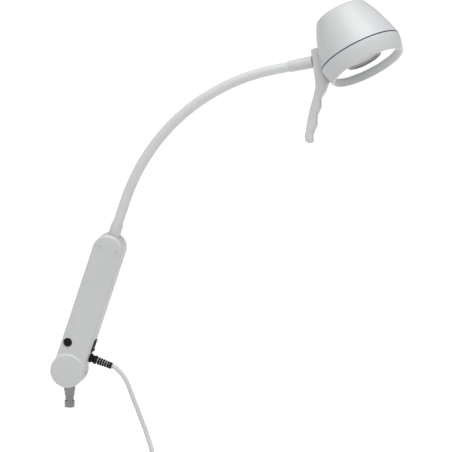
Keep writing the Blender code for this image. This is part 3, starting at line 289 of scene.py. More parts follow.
# Flat glass with a coating against reflections: seen only as a faint cool sheen.
PANE = Finish("coated_glass", "FFFFFF", 0.03, Grain.SMOOTH, 40.0, 0.004, "FDFEFE", ior=1.16, transmission=1.0)
# Drawn and anodised aluminium: fine lines along its length under a soft metal shine.
ALLOY = Finish("anodised_aluminium", "B5B8BB", 0.42, Grain.EXTRUDED, 0.8, 0.02, "ABAEB2", metallic=1.0)
# Natural acetal: waxy, cream white, with a smooth low gloss.
ACETAL = Finish("natural_acetal", "CFCFC9", 0.45, Grain.MOULDED, 1.0, 0.02, "CACAC3")
# PVC jacket: satin, with the faint ripple of the wires twisted inside it.
JACKET = Finish("pvc_lead_jacket", "C4C5C6", 0.50, Grain.MOULDED, 2.2, 0.04, "BEBFC0")
# Nickel on brass: warm and nearly a mirror, with the finest turning marks.
NICKEL = Finish("nickel_plated_brass", "C9C6BE", 0.22, Grain.TURNED, 0.5, 0.01, "BDB9AF", metallic=1.0)
# White paper on the studio's floor: matt, with no pattern that could be seen.
PAPER = Finish("pale_paper", "E9E9E9", 0.9, Grain.CAST, 30.0, 0.01, "E9E9E9")


class Wardrobe:
    """Builds each finish once and gives it to pieces and CAD nodes."""

    def __init__(self) -> None:
        """Start with no material made."""
        self.made: dict[str, bpy.types.Material] = {}

    def material(self, finish: Finish) -> bpy.types.Material:
        """The material of a finish, made at its first use."""
        if finish.name not in self.made:
            self.made[finish.name] = finish.build()
        return self.made[finish.name]

    def dress(self, piece: Piece, finish: Finish) -> None:
        """Give a piece one finish all over.

        Args:
            piece: a new piece, or a CAD node's object.
            finish: its finish.
        """
        if not piece.material_slots:
            piece.data.materials.append(None)
        for slot in piece.material_slots:
            slot.material = self.material(finish)


WARDROBE = Wardrobe()


# ------------------------------------------------------------------ modelling
def rounded(corners: Sequence[Corner], closed: bool = False, steps: int = 4) -> list[Point2]:
    """Round the corners of a line by arcs.

    Args:
        corners: points (x, y, radius of the arc there).
        closed: whether the last point joins the first.
        steps: straight lengths in each arc.

    Returns:
        The line's points.
    """
    points: list[Point2] = []
    for index, (x, y, radius) in enumerate(corners):
        is_end = not closed and index in (0, len(corners) - 1)
        if radius == 0 or is_end:
            points.append((x, y))
            continue
        here = Vector((x, y))
        before = (Vector(corners[index - 1][:2]) - here).normalized()
        after = (Vector(corners[(index + 1) % len(corners)][:2]) - here).normalized()
        half = before.angle(after) / 2
        centre = here + (before + after).normalized() * radius / math.sin(half)
        first = here + before * radius / math.tan(half) - centre
        last = here + after * radius / math.tan(half) - centre
        start = math.atan2(first.y, first.x)
        sweep = (math.atan2(last.y, last.x) - start + math.pi) % (2 * math.pi) - math.pi
        for step in range(steps + 1):
            angle = start + sweep * step / steps
            points.append((centre.x + radius * math.cos(angle), centre.y + radius * math.sin(angle)))
    return points


def bezier(start: Point2, control: Point2, end: Point2, steps: int) -> list[Point2]:
    """Points on a quadratic curve, without its first point.

    Args:
        start: where it starts.
        control: where its two end tangents meet.
        end: where it ends.
        steps: straight lengths in it.

    Returns:
        The points.
    """
    points = []
    for step in range(1, steps + 1):
        t = step / steps
        points.append(tuple((1 - t) ** 2 * a + 2 * t * (1 - t) * b + t * t * c
                            for a, b, c in zip(start, control, end)))
    return points


def arc(centre: Point2, radius: float, start: float, end: float, steps: int) -> list[Point2]:
    """Points on an arc, both ends included.

    Args:
        centre: its centre.
        radius: its radius.
        start: angle of its first point, in degrees.
        end: angle of its last point.
        steps: straight lengths in it.

    Returns:
        The points.
    """
    angles = [math.radians(start + (end - start) * step / steps) for step in range(steps + 1)]
    return [(centre[0] + radius * math.cos(a), centre[1] + radius * math.sin(a)) for a in angles]


def clear() -> None:
    """Leave edit mode and deselect everything."""
    if bpy.context.object and bpy.context.object.mode != "OBJECT":
        bpy.ops.object.mode_set(mode="OBJECT")
    bpy.ops.object.select_all(action="DESELECT")


def ease(part: float) -> float:
    """Go smoothly from 0 to 1 as part does, and stay there outside."""
    part = max(0.0, min(1.0, part))
    return part * part * (3 - 2 * part)


def only(piece: Piece) -> None:
    """Make a piece the only one selected, in object mode.

    Args:
        piece: the piece.
    """
    clear()
    piece.select_set(True)
    bpy.context.view_layer.objects.active = piece


def name_it(name: str) -> Piece:
    """Name the new active piece and its mesh.

    Args:
        name: its name.

    Returns:
        The piece.
    """
    piece = bpy.context.object
    piece.name = name
    piece.data.name = name
    return piece


def edit() -> None:
    """Enter edit mode with everything selected, by vertices."""
    bpy.ops.object.mode_set(mode="EDIT")
    bpy.ops.mesh.select_mode(type="VERT")
    bpy.ops.mesh.select_all(action="SELECT")


def heal() -> None:
    """Merge doubled points and turn every face outwards, in edit mode."""
    bpy.ops.mesh.select_all(action="SELECT")
    bpy.ops.mesh.remove_doubles(threshold=WELD)
    bpy.ops.mesh.normals_make_consistent(inside=False)


def shade(piece: Piece, angle: float) -> None:
    """Shade a piece smooth but for edges sharper than an angle in degrees."""
    only(piece)
    bpy.ops.object.shade_smooth_by_angle(angle=math.radians(angle))


def push(move: Sequence[float]) -> None:
    """Extrude what is selected by a move."""
    bpy.ops.mesh.extrude_region_move(TRANSFORM_OT_translate={"value": move})


def draw_line(name: str, points: Sequence[Sequence[float]], closed: bool) -> Piece:
    """Draw a line by extruding one vertex from point to point, and stay in edit mode.

    Args:
        name: the piece's name.
        points: the line's points in 3D.
        closed: whether the last point joins the first.

    Returns:
        The piece, with the whole line selected.
    """
    clear()
    bpy.ops.mesh.primitive_plane_add(size=MM)
    piece = name_it(name)
    edit()
    bpy.ops.mesh.merge(type="CENTER")
    bpy.ops.transform.translate(value=Vector(points[0]))
    for before, after in zip(points, points[1:]):
        push(Vector(after) - Vector(before))
    bpy.ops.mesh.select_all(action="SELECT")
    if closed:
        mesh = bmesh.from_edit_mesh(piece.data)
        ends = [v for v in mesh.verts if len(v.link_edges) == 1]
        mesh.edges.new(ends)
        bmesh.update_edit_mesh(piece.data)
        bpy.ops.mesh.select_all(action="SELECT")
    return piece


def settle(piece: Piece, place: Matrix, smooth: float = 38.0) -> Piece:
    """Put a piece in its place, with the place in its mesh, and shade it.

    Args:
        piece: the piece, drawn at its own origin.
        place: where it goes.
        smooth: the sharpest edge, in degrees, that is shaded smooth.

    Returns:
        The piece.
    """
    only(piece)
    piece.matrix_world = place
    bpy.ops.object.transform_apply(location=True, rotation=True, scale=True)
    shade(piece, smooth)
    return piece


def lathe(name: str, profile: Sequence[Point2], place: Matrix, steps: int = 96,
          closed: bool = False) -> Piece:
    """Spin a profile about Z and put it in its place.

    Args:
        name: the piece's name.
        profile: points (radius, height); an open one starts and ends on the axis.
        place: where the piece goes.
        steps: facets round it.
        closed: whether the profile is a ring's section.

    Returns:
        The piece.
    """
    piece = draw_line(name, [(radius, 0, height) for radius, height in profile], closed)
    bpy.ops.mesh.spin(steps=steps, angle=WHOLE_TURN, center=(0, 0, 0), axis=(0, 0, 1))
    heal()
    return settle(piece, place)


def drill(radius: float, low: float, high: float, place: Matrix, steps: int = 48) -> Piece:
    """A cutter for a round hole: a rod about its place's Z, from low to high."""
    return lathe("drill", [(0, low), (radius, low), (radius, high), (0, high)], place, steps)


def ring_section(inner: float, outer: float, low: float, high: float, soft: float,
                 steps: int = 4) -> list[Point2]:
    """The section of a plain ring whose two outer edges are rounded.

    Args:
        inner: inner radius.
        outer: outer radius.
        low: lower height.
        high: upper height.
        soft: radius of the outer edges.
        steps: straight lengths in each rounding.

    Returns:
        The section's points (radius, height).
    """
    return rounded([(inner, low, 0), (outer, low, soft), (outer, high, soft), (inner, high, 0)], True, steps)


def pick(piece: Piece, test: Callable[[Vector], bool], mode: str = "VERT") -> None:
    """Select, in edit mode, every vertex, edge or face whose corners all pass a test.

    Args:
        piece: the piece in edit mode.
        test: says of a corner's place whether it is meant.
        mode: VERT, EDGE or FACE.
    """
    bpy.ops.mesh.select_all(action="DESELECT")
    bpy.ops.mesh.select_mode(type=mode)
    mesh = bmesh.from_edit_mesh(piece.data)
    parts = {"VERT": mesh.verts, "EDGE": mesh.edges, "FACE": mesh.faces}[mode]
    for part in parts:
        corners = [part] if mode == "VERT" else part.verts
        if all(test(v.co) for v in corners):
            part.select_set(True)
    bmesh.update_edit_mesh(piece.data)


def slab(name: str, outline: Sequence[Point2], low: float, high: float, rounding: tuple[float, float],
         segments: int = 5) -> Piece:
    """Extrude an outline of (x, z) points along Y and round its two rims.

    Args:
        name: the piece's name.
        outline: the outline's points.
        low: the lower y.
        high: the higher y.
        rounding: radius of the rim at low and of the rim at high.
        segments: steps of each rounding.

    Returns:
        The piece, at its own origin.
    """
    piece = draw_line(name, [(x, low, z) for x, z in outline], True)
    bpy.ops.mesh.edge_face_add()
    push((0, high - low, 0))
    for level, radius in zip((low, high), rounding):
        if radius:
            pick(piece, lambda co, level=level: abs(co.y - level) < LEVEL, "EDGE")
            bpy.ops.mesh.bevel(offset=radius, segments=segments, profile=0.5)
    bpy.ops.mesh.select_all(action="SELECT")
    bpy.ops.mesh.normals_make_consistent(inside=False)
    bpy.ops.object.mode_set(mode="OBJECT")
    return piece


def block(name: str, size: Sequence[float], place: Matrix, rounding: float = 0.0, segments: int = 3) -> Piece:
    """A box with rounded edges.

    Args:
        name: the piece's name.
        size: its length along X, Y and Z.
        place: where its centre goes.
        rounding: radius of every edge.
        segments: steps of the rounding.

    Returns:
        The piece.
    """
    clear()
    bpy.ops.mesh.primitive_cube_add(size=1.0)
    piece = name_it(name)
    edit()
    bpy.ops.transform.resize(value=tuple(size))
    if rounding:
        bpy.ops.mesh.bevel(offset=rounding, segments=segments, profile=0.5)
    return settle(piece, place)


def carve(piece: Piece, tool: Piece, operation: str = "DIFFERENCE") -> Piece:
    """Cut a piece with a tool, or join the two, and remove the tool.

    Args:
        piece: the piece to change.
        tool: the solid that changes it.
        operation: DIFFERENCE, UNION or INTERSECT.

    Returns:
        The piece.
    """
    change = piece.modifiers.new("carve", "BOOLEAN")
    change.operation = operation
    change.solver = "EXACT"
    change.object = tool
    only(piece)
    bpy.ops.object.modifier_apply(modifier=change.name)
    bpy.data.objects.remove(tool, do_unlink=True)
    return piece


def reshade(piece: Piece, smooth: float = 30.0) -> Piece:
    """Merge what a cut left doubled and shade the piece again, smooth up to an angle in degrees.

    Args:
        piece: the piece.
        smooth: the sharpest edge, in degrees, that is shaded smooth.

    Returns:
        The piece.
    """
    only(piece)
    edit()
    bpy.ops.mesh.remove_doubles(threshold=WELD)
    shade(piece, smooth)
    return piece


def hand_in(piece: Piece, body: str, finish: Finish, slot: str, *nodes: str) -> Piece:
    """Dress a finished piece, put it on its body and say which CAD nodes it stands for.

    Args:
        piece: the finished piece.
        body: the CAD body that it rides on.
        finish: its finish.
        slot: the record's material slot; not used.
        nodes: the CAD nodes that it replaces.

    Returns:
        The piece.
    """
    WARDROBE.dress(piece, finish)
    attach(piece, body)
    if nodes:
        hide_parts(*nodes)
    LOG.info("%s rides on %s, %d faces", piece.name, body, len(piece.data.polygons))
    return piece


# ------------------------------------------------------------------ camera, light and floor
@dataclass
class Studio:
    """A long lens at the lamp's front, a plain pale floor and soft light."""

    azimuth: float = 13.0
    elevation: float = 12.0
    frame_width: float = 0.71235
    across: float = 0.2464
    up: float = 0.2850
    lens: float = 1000.0
    sensor: float = 36.0
    floor_size: float = 400.0
    floor_drop: float = 2.0 * MM
    sky_base: float = 0.15
    sky_rise: float = 0.55
    sun: float = 2.9
    sun_width: float = 60.0
    sun_from: Vector = field(default_factory=lambda: Vector((0.12, -0.28, 0.95)))

    def make_camera(self) -> None:
        """Aim the camera so that its frame's middle is at (across, up) in the view's own plane."""
        turn, lift = math.radians(self.azimuth), math.radians(self.elevation)
        right = Vector((math.cos(turn), math.sin(turn), 0))
        towards = Vector((math.sin(turn) * math.cos(lift), -math.cos(turn) * math.cos(lift), math.sin(lift)))
        upwards = towards.cross(right)
        data = bpy.data.cameras.new("camera")
        data.lens = self.lens
        data.sensor_width = self.sensor
        distance = self.frame_width * self.lens / self.sensor
        data.clip_end = 5 * distance
        camera = bpy.data.objects.new("camera", data)
        bpy.context.collection.objects.link(camera)
        camera.location = right * self.across + upwards * self.up + towards * distance
        camera.rotation_euler = towards.to_track_quat("Z", "Y").to_euler()
        bpy.context.scene.camera = camera

    def make_floor(self, level: float) -> None:
        """Lay the pale floor at a height.

        Args:
            level: its height.
        """
        clear()
        bpy.ops.mesh.primitive_plane_add(size=self.floor_size, location=(0, 0, level))
        floor = name_it("studio_floor")
        WARDROBE.dress(floor, PAPER)

    def make_lights(self) -> None:
        """A bright sky, dimmer towards the horizon, and a very soft sun nearly overhead."""
        world = bpy.data.worlds.new("studio")
        bpy.context.scene.world = world
        world.use_nodes = True
        tree = world.node_tree
        facing = add_node(tree, "ShaderNodeTexCoord")
        parts = add_node(tree, "ShaderNodeSeparateXYZ", {"Vector": facing.outputs["Generated"]})
        rise = add_node(tree, "ShaderNodeMath", {0: parts.outputs["Z"], 1: self.sky_rise, 2: self.sky_base},
                        operation="MULTIPLY_ADD")
        sky = tree.nodes["Background"]
        sky.inputs["Color"].default_value = (1.0, 1.0, 1.0, 1.0)
        tree.links.new(rise.outputs[0], sky.inputs["Strength"])
        data = bpy.data.lights.new("soft_sun", "SUN")
        data.energy = self.sun
        data.angle = math.radians(self.sun_width)
        light = bpy.data.objects.new("soft_sun", data)
        bpy.context.collection.objects.link(light)
        light.rotation_euler = self.sun_from.to_track_quat("Z", "Y").to_euler()

    def build(self) -> None:
        """Make camera, floor and lights."""
        self.make_camera()
        self.make_floor(CAD_BOX[0][2] - self.floor_drop)
        self.make_lights()
        bpy.context.scene.view_settings.view_transform = "Standard"


# ------------------------------------------------------------------ mains lead
@dataclass
class MainsLead:
    """The lead from its boot to its plug, with the length that isn't seen wound up and tied."""

    radius: float = 3.6 * MM
    exit_across: float = 24.3 * MM
    side_depth: float = 5.0 * MM
    exit_along: float = 27.6 * MM
    relief_length: float = 38.0 * MM
    boot_root: float = 7.2 * MM
    boot_tip: float = 5.2 * MM
    ribs: int = 5
    rib_pitch: float = 3.9 * MM
    rib_width: float = 2.5 * MM
    coil_centre: Vector = field(default_factory=lambda: Vector((0.142, 0.005, -0.1455)))
    outer_turn: float = 47.0 * MM
    turn_pitch: float = 7.4 * MM
    columns: int = 4
    entry_angle: float = 69.0
    leave_angle: float = -35.0
    whole_turns: int = 8
    steps_per_turn: int = 48
    crossing: float = 0.16
    drift_from: float = -0.024
    drift_to: float = -0.0971
    drape: Vector = field(default_factory=lambda: Vector((0.0716, 0, -0.147)))
    plug_top: Vector = field(default_factory=lambda: Vector((0.152, 0.005, -0.2280)))
    plug_radius: float = 18.5 * MM
    plug_length: float = 34.0 * MM
    plug_neck: float = 22.0 * MM
    pin_radius: float = 2.4 * MM
    pin_length: float = 19.0 * MM
    pin_spacing: float = 19.0 * MM

    def hand_route(self) -> list[Vector]:
        """The route's points from the box to the coil.

        Returns:
            The points: along the boot, then down with an easy drift to the coil's first column.
        """
        start = ARM @ Vector((self.exit_across, self.side_depth, self.exit_along))
        forward = ARM.to_3x3() @ Vector((1, 0, 0))
        boot = [start + forward * self.relief_length * part for part in (0, 0.25, 0.5, 0.75, 1.0, 1.13)]
        seen = [(0.0784, 0.0610), (0.0852, 0.0540), (0.0908, 0.0452), (0.0950, 0.0360), (0.0985, 0.0265),
                (0.1022, 0.0170), (0.1060, 0.0075), (0.1097, -0.0020), (0.1134, -0.0115), (0.1171, -0.0210),
                (0.1208, -0.0305), (0.1245, -0.0400), (0.1282, -0.0495), (0.1318, -0.0590)]
        unseen = [(0.1333, -0.0645), (0.1349, -0.0709), (0.1370, -0.0778), (0.1400, -0.0848),
                  (0.1444, -0.0914), (0.1505, -0.0971)]
        shift = self.coil_centre.y - (self.columns - 1) / 2 * self.turn_pitch - self.side_depth
        points = []
        for x, z in seen + unseen:
            part = (self.drift_from - z) / (self.drift_from - self.drift_to)
            points.append(Vector((x, self.side_depth + shift * ease(part), z)))
        return boot + points

    def coil_route(self) -> list[Vector]:
        """The coil's turns: each column winds inwards or outwards, and the next lies beside it.

        Returns:
            The points.
        """
        total = 360.0 * self.whole_turns + self.entry_angle - self.leave_angle
        count = round(total / 360.0 * self.steps_per_turn)
        per_column = total / 360.0 / self.columns
        points = []
        for step in range(count + 1):
            part = step / count * self.columns
            column = min(int(part), self.columns - 1)
            inward = part - column if column % 2 == 0 else 1 - (part - column)
            radius = self.outer_turn - self.turn_pitch * per_column * inward
            angle = math.radians(self.entry_angle - total * step / count)
            side = self.column_shift(part) - (self.columns - 1) / 2
            points.append(self.coil_centre + Vector((radius * math.cos(angle), side * self.turn_pitch,
                                                     radius * math.sin(angle))))
        return points

    def column_shift(self, part: float) -> float:
        """How many columns the lead has moved along, easing from each to the next.

        Args:
            part: how many columns are wound.

        Returns:
            The shift along the coil, in columns.
        """
        nearest = round(part)
        if nearest in (0, self.columns):
            return float(min(nearest, self.columns - 1))
        return nearest - 1 + ease((part - nearest) / self.crossing + 0.5)

    def tail_route(self) -> list[Vector]:
        """The points from the coil down into the plug."""
        return [Vector((0.1722, 0.0140, -0.1842)), Vector((0.1636, 0.0105, -0.1965)),
                Vector((0.1567, 0.0068, -0.2085)), Vector((0.1529, 0.0053, -0.2195)),
                self.plug_top, self.plug_top - Vector((0, 0, 4 * MM))]

    def smooth(self, points: list[Vector], steps: int = 4) -> list[Vector]:
        """A curve through the points, with more points between them.

        Args:
            points: points that the curve passes.
            steps: lengths between two points.

        Returns:
            The curve's points.
        """
        ends = [points[0] * 2 - points[1]] + points + [points[-1] * 2 - points[-2]]
        curve = []
        for a, b, c, d in zip(ends, ends[1:], ends[2:], ends[3:]):
            for step in range(steps):
                t = step / steps
                curve.append(0.5 * (2 * b + (c - a) * t + (2 * a - 5 * b + 4 * c - d) * t * t
                                    + (3 * b - a - 3 * c + d) * t ** 3))
        return curve + [points[-1]]

    def route(self) -> list[Vector]:
        """The whole centreline.

        Returns:
            Its points, from the box to the plug.
        """
        coil = self.coil_route()
        lead = self.smooth(self.hand_route() + coil[:2])
        tail = self.smooth(coil[-2:] + self.tail_route())
        return lead[:-4] + coil[:-2] + tail

    def build_lead(self, parts: list[Piece]) -> None:
        """Args:
            parts: the pieces that are on it; not used.
        """
        path = self.route()
        curve = bpy.data.curves.new("mains_lead", "CURVE")
        curve.dimensions = "3D"
        curve.bevel_depth = self.radius
        curve.bevel_resolution = 3
        curve.use_fill_caps = True
        spline = curve.splines.new("POLY")
        spline.points.add(len(path) - 1)
        for point, spot in zip(spline.points, path):
            point.co = (*spot, 1.0)
        lead = bpy.data.objects.new("mains_lead", curve)
        bpy.context.collection.objects.link(lead)
        only(lead)
        bpy.ops.object.convert(target="MESH")
        lead = name_it("mains_lead")
        shade(lead, 50)
        WARDROBE.dress(lead, JACKET)
        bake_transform(lead)
        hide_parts("cord_lead", "cord_coil", "cord_tail")

    def build_boot(self) -> Piece:
        """The ribbed boot: solid at its root and tip, with slits between its ribs that show the lead.

        Returns:
            The boot.
        """
        bore = self.radius + 0.25 * MM
        root, tip = self.boot_root, self.boot_tip
        ring = rounded([(bore, -4 * MM, 0), (5.0 * MM, -4 * MM, 0), (5.0 * MM, 0, 0), (root, 0, 0.5 * MM),
                        (root, 3.4 * MM, 0.8 * MM), (5.6 * MM, 5.4 * MM, 0.4 * MM), (5.6 * MM, 7.0 * MM, 0),
                        (6.9 * MM, 8.6 * MM, 0.6 * MM), (6.7 * MM, 12.6 * MM, 0.6 * MM),
                        (5.0 * MM, 13.0 * MM, 0), (bore, 13.0 * MM, 0)], closed=True, steps=2)
        place = ARM @ at(self.exit_across - GAP, self.side_depth, self.exit_along) @ turned_by(90, "Y")
        boot = lathe("cord_boot", ring, Matrix(), 48, closed=True)
        for rib in range(self.ribs):
            start = 14.6 * MM + rib * self.rib_pitch
            outer = root + (tip - root) * (start / self.relief_length) - 0.2 * MM
            section = ring_section(bore, outer, start, start + self.rib_width, 0.5 * MM, 2)
            carve(boot, lathe("rib", section, Matrix(), 48, closed=True), "UNION")
        end = rounded([(bore, 33.4 * MM, 0), (5.5 * MM, 33.4 * MM, 0.5 * MM), (5.0 * MM, 38 * MM, 1.0 * MM),
                       (bore, 38 * MM, 0)], closed=True, steps=3)
        carve(boot, lathe("boot_tip", end, Matrix(), 48, closed=True), "UNION")
        for angle in (35, 110):
            spine = turned_by(angle, "Z") @ at(bore + 0.8 * MM, 0, 23 * MM)
            carve(boot, block("spine", (1.2 * MM, 2.6 * MM, 24 * MM), spine), "UNION")
        settle(reshade(boot), place)
        return hand_in(boot, "control_box", BOOT_PVC, "black_rubber", "strain_relief")

    def build_tie(self) -> Piece:
        """The strap round the coil, with its loose end.

        Returns:
            The strap.
        """
        spool = Matrix.Translation(self.coil_centre) @ turned_by(90, "X") @ turned_by(200, "Z")
        place = spool @ at(x=39.6 * MM) @ turned_by(90, "X")
        width = 8 * MM
        half_x = 12.6 * MM

        def loop(proud: float, corner: float) -> list[Point2]:
            """A rounded outline, proud of the bundle of turns."""
            x, z = half_x + proud, 15.4 * MM + proud
            return rounded([(x, z, corner), (-x, z, corner), (-x, -z, corner), (x, -z, corner)], True, 6)

        strap = slab("cord_strap", loop(1.2 * MM, 5 * MM), -width / 2, width / 2, (0.3 * MM, 0.3 * MM), 2)
        carve(strap, slab("hollow", loop(0.0, 4 * MM), -width, width, (0, 0)))
        tongue = block("tongue", (1.0 * MM, width, 17 * MM), at(half_x + 1.9 * MM, 0, 2 * MM), 0.3 * MM, 2)
        carve(strap, tongue, "UNION")
        settle(reshade(strap), place @ turned_by(-90, "X"))
        return hand_in(strap, "base", BOOT_PVC, "black_rubber", "cord_tie")

    def build_plug(self) -> list[Piece]:
        """The moulded plug, with a ribbed neck, a grip waist and two pins.

        Returns:
            The plug and its pins.
        """
        place = Matrix.Translation(self.plug_top - Vector((0, 0, GAP)))
        corners: list[Corner] = [(0, 0, 0), (4.8 * MM, 0, 0.8 * MM)]
        for rib in range(4):
            level = -2.6 * MM - rib * 4.2 * MM
            reach = (5.2 + 0.5 * rib) * MM
            corners += [(reach, level, 0.4 * MM),
                        (reach - 1.0 * MM, level - 0.8 * MM, 0.2 * MM),
                        (reach - 0.8 * MM, level - 2.0 * MM, 0.2 * MM),
                        (reach + 0.3 * MM, level - 2.8 * MM, 0.4 * MM)]
        wide, low = self.plug_radius, -self.plug_neck
        corners += [(wide * 0.55, low, 1.5 * MM), (wide * 0.93, low - 3.5 * MM, 3 * MM),
                    (wide - 1.6 * MM, low - 14 * MM, 10 * MM), (wide, low - 25 * MM, 2 * MM),
                    (wide, low - self.plug_length, 1.2 * MM), (0, low - self.plug_length, 0)]
        body = lathe("mains_plug", rounded(corners, steps=3), place, 72)
        parts = [hand_in(body, "base", BOOT_PVC, "black_rubber", "plug_body")]
        top = low - self.plug_length - GAP
        thick, thin = self.pin_radius, self.pin_radius - 0.15 * MM
        for side, name in ((-1, "left"), (1, "right")):
            profile = rounded([(0, top, 0), (thick, top, 0), (thick, top - 9 * MM, 0),
                               (thin, top - 9.1 * MM, 0), (thin, top - self.pin_length, 1.6 * MM),
                               (0, top - self.pin_length, 0)], steps=5)
            pin = lathe(f"plug_contact_{name}", profile, place @ at(x=side * self.pin_spacing / 2), 32)
            parts.append(hand_in(pin, "base", NICKEL, "nickel", f"plug_pin_{name}"))
        return parts

    def build(self) -> None:
        """Make the boot, tie, plug and lead."""
        boot = self.build_boot()
        self.build_lead([boot, self.build_tie(), *self.build_plug()])


# ------------------------------------------------------------------ spigot
@dataclass
class Spigot:
    """The turned pin that drops into a socket, with its locking groove and collar."""

    radius: float = 8.0 * MM
    groove_radius: float = 6.8 * MM
    groove_start: float = 11.5 * MM
    groove_height: float = 6.9 * MM
    length: float = 27.0 * MM
    flange_radius: float = 9.0 * MM
    flange_height: float = 7.0 * MM

    def build(self) -> None:
        """Turn the pin."""
        slope = self.radius - self.groove_radius
        groove_end = self.groove_start + self.groove_height
        top = self.length + self.flange_height
        corners = [(0, 0, 0), (self.radius, 0, 1.6 * MM),
                   (self.radius, self.groove_start - slope, 0.3 * MM),
                   (self.groove_radius, self.groove_start, 0.5 * MM),
                   (self.groove_radius, groove_end, 0.5 * MM),
                   (self.radius, groove_end + slope, 0.3 * MM), (self.radius, self.length, 0.2 * MM),
                   (self.flange_radius, self.length, 0.5 * MM), (self.flange_radius, top, 0.5 * MM),
                   (0, top, 0)]
        pin = lathe("turned_spigot", rounded(corners), Matrix(), 96)
        hand_in(pin, "base", SPIGOT_STEEL, "spigot_steel", "mounting_spigot")


# ------------------------------------------------------------------ control box
@dataclass
class ControlBox:
    """The housing: a deep rear shell, a front cover with its round pad, and what is fitted to them."""

    hub: float = 27.0 * MM
    width: float = 48.0 * MM
    length: float = 231.0 * MM
    front: float = 17.0 * MM
    back: float = 20.0 * MM
    pad_front: float = 20.5 * MM
    split: float = 10.5 * MM
    wall: float = 2.4 * MM
    edge: float = 3.4 * MM
    side_depth: float = 5.0 * MM
    button_along: float = 44.5 * MM
    button_across: float = -13.4 * MM
    rocker_along: float = 48.0 * MM
    rocker_length: float = 16.4 * MM
    rocker_width: float = 11.0 * MM
    rocker_lip: float = 2.2 * MM
    rocker_lean: float = 6.4
    relief_along: float = 27.6 * MM
    cap_along: float = 212.0 * MM
    cap_across: float = 13.3 * MM
    slot_width: float = 8.4 * MM
    slot_half_angle: float = 104.0
    slot_end: float = 35.0 * MM
    screw_low: float = 60.0 * MM
    screw_high: float = 182.0 * MM
    pad_side: float = 26.3 * MM
    pad_fillet: float = 3.4 * MM

    def outline(self, inset: float = 0.0) -> list[Point2]:
        """The box's outline, drawn in by an inset: the round hub, straight sides and the round end.

        Args:
            inset: how far it is drawn in.

        Returns:
            The outline's points (x, z).
        """
        radius = self.hub - inset
        half = self.width / 2 - inset
        corner = math.degrees(math.asin(half / radius))
        points = arc((0, 0), radius, 90 + corner, 450 - corner, 56)
        return points + arc((0, self.length - self.width / 2), half, 0, 180, 32)

    def tub(self, name: str, face: float, opening: float) -> Piece:
        """A shell closed at its face and open at the parting plane.

        Args:
            name: the piece's name.
            face: y of the closed face.
            opening: y of the parting plane.

        Returns:
            The shell, at the arm's own origin.
        """
        low, high = sorted((face, opening))
        rims = (self.edge, 0.0) if face < opening else (0.0, self.edge)
        shell = slab(name, self.outline(), low, high, rims, 6)
        only(shell)
        edit()
        pick(shell, lambda co: abs(co.y - opening) < LEVEL, "FACE")
        bpy.ops.mesh.inset(thickness=self.wall, depth=0)
        inward = math.copysign(abs(face - opening) - self.wall, face - opening)
        push((0, inward, 0))
        bpy.ops.object.mode_set(mode="OBJECT")
        return shell

    def bore(self, radius: float, low: float, high: float, x: float, z: float, steps: int = 48) -> Piece:
        """A cutter along Y, from low to high, at (x, z)."""
        return drill(radius, low, high, at(x, 0, z) @ turned_by(-90, "X"), steps)

    def build_cover(self) -> None:
        """The front cover, and the pad over the hinge that flows into it by a hollow fillet."""
        cover = self.tub("front_panel", -self.front, -self.split - GAP)
        side, fillet = self.pad_side, self.pad_fillet
        profile = [(0, 13 * MM), (side, 13 * MM), (side + fillet, 13 * MM),
                   (side + fillet, self.front - 0.04 * MM)]
        profile += arc((side + fillet, self.front + fillet), fillet, 270, 187, 7)[1:]
        profile = [point for point in profile if point[1] <= self.pad_front - 0.9 * MM]
        profile += rounded([(side, self.front + 2 * MM, 0), (side - 0.2 * MM, self.pad_front, 1.1 * MM),
                            (0, self.pad_front, 0)], steps=5)[1:]
        pad = settle(lathe("pad", profile, Matrix(), 120), turned_by(90, "X"))
        trim = slab("trim", self.outline(0.25 * MM), -30 * MM, -5 * MM, (0, 0))
        carve(pad, trim, "INTERSECT")
        carve(cover, pad, "UNION")
        carve(cover, self.bore(23.4 * MM, -self.pad_front + self.wall, -self.split + MM, 0, 0, 72))
        carve(cover, self.bore(5.3 * MM, -30 * MM, -self.split, self.button_across, self.button_along))
        for across in (-self.cap_across, self.cap_across):
            carve(cover, self.bore(1.6 * MM, -30 * MM, -self.split, across, self.cap_along, 24))
        settle(reshade(cover), ARM, 30)
        hand_in(cover, "control_box", HOUSING, "housing_plastic", "front_cover")

    def sector(self, inner: float, outer: float, longer: float, steps: int) -> list[Point2]:
        """The sweep of the spigot's tongue round the hinge.

        Args:
            inner: inner radius.
            outer: outer radius.
            longer: degrees added at each end.
            steps: straight lengths in each arc.

        Returns:
            The outline's points.
        """
        half = self.slot_half_angle + longer
        low, high = -90 - half, -90 + half
        return arc((0, 0), inner, low, high, steps) + arc((0, 0), outer, high, low, steps)

    def build_shell(self) -> None:
        """The rear shell with the hinge slot and the openings for the neck, rocker, lead and screws."""
        shell = self.tub("rear_housing", self.back, -self.split)
        half = self.slot_width / 2
        carve(shell, slab("slot", self.sector(21 * MM, self.slot_end, 0, 40), -half, half, (0, 0)))
        carve(shell, drill(9.7 * MM, self.length - 11 * MM, self.length + 9 * MM, Matrix(), 64))
        opening = (12 * MM, self.rocker_width + 2 * self.rocker_lip - MM,
                   self.rocker_length + 2 * self.rocker_lip - MM)
        carve(shell, block("window", opening, at(self.width / 2, self.side_depth, self.rocker_along)))
        lead_place = at(self.width / 2, self.side_depth, self.relief_along) @ turned_by(90, "Y")
        carve(shell, drill(5.1 * MM, -6 * MM, 6 * MM, lead_place))
        for height in (self.screw_low, self.screw_high):
            carve(shell, self.bore(1.7 * MM, 14 * MM, 24 * MM, 0, height, 24))
            carve(shell, self.bore(3.4 * MM, self.back - 0.25 * MM, 24 * MM, 0, height, 48))
        settle(reshade(shell), ARM, 30)
        hand_in(shell, "control_box", HOUSING, "housing_plastic", "rear_shell")

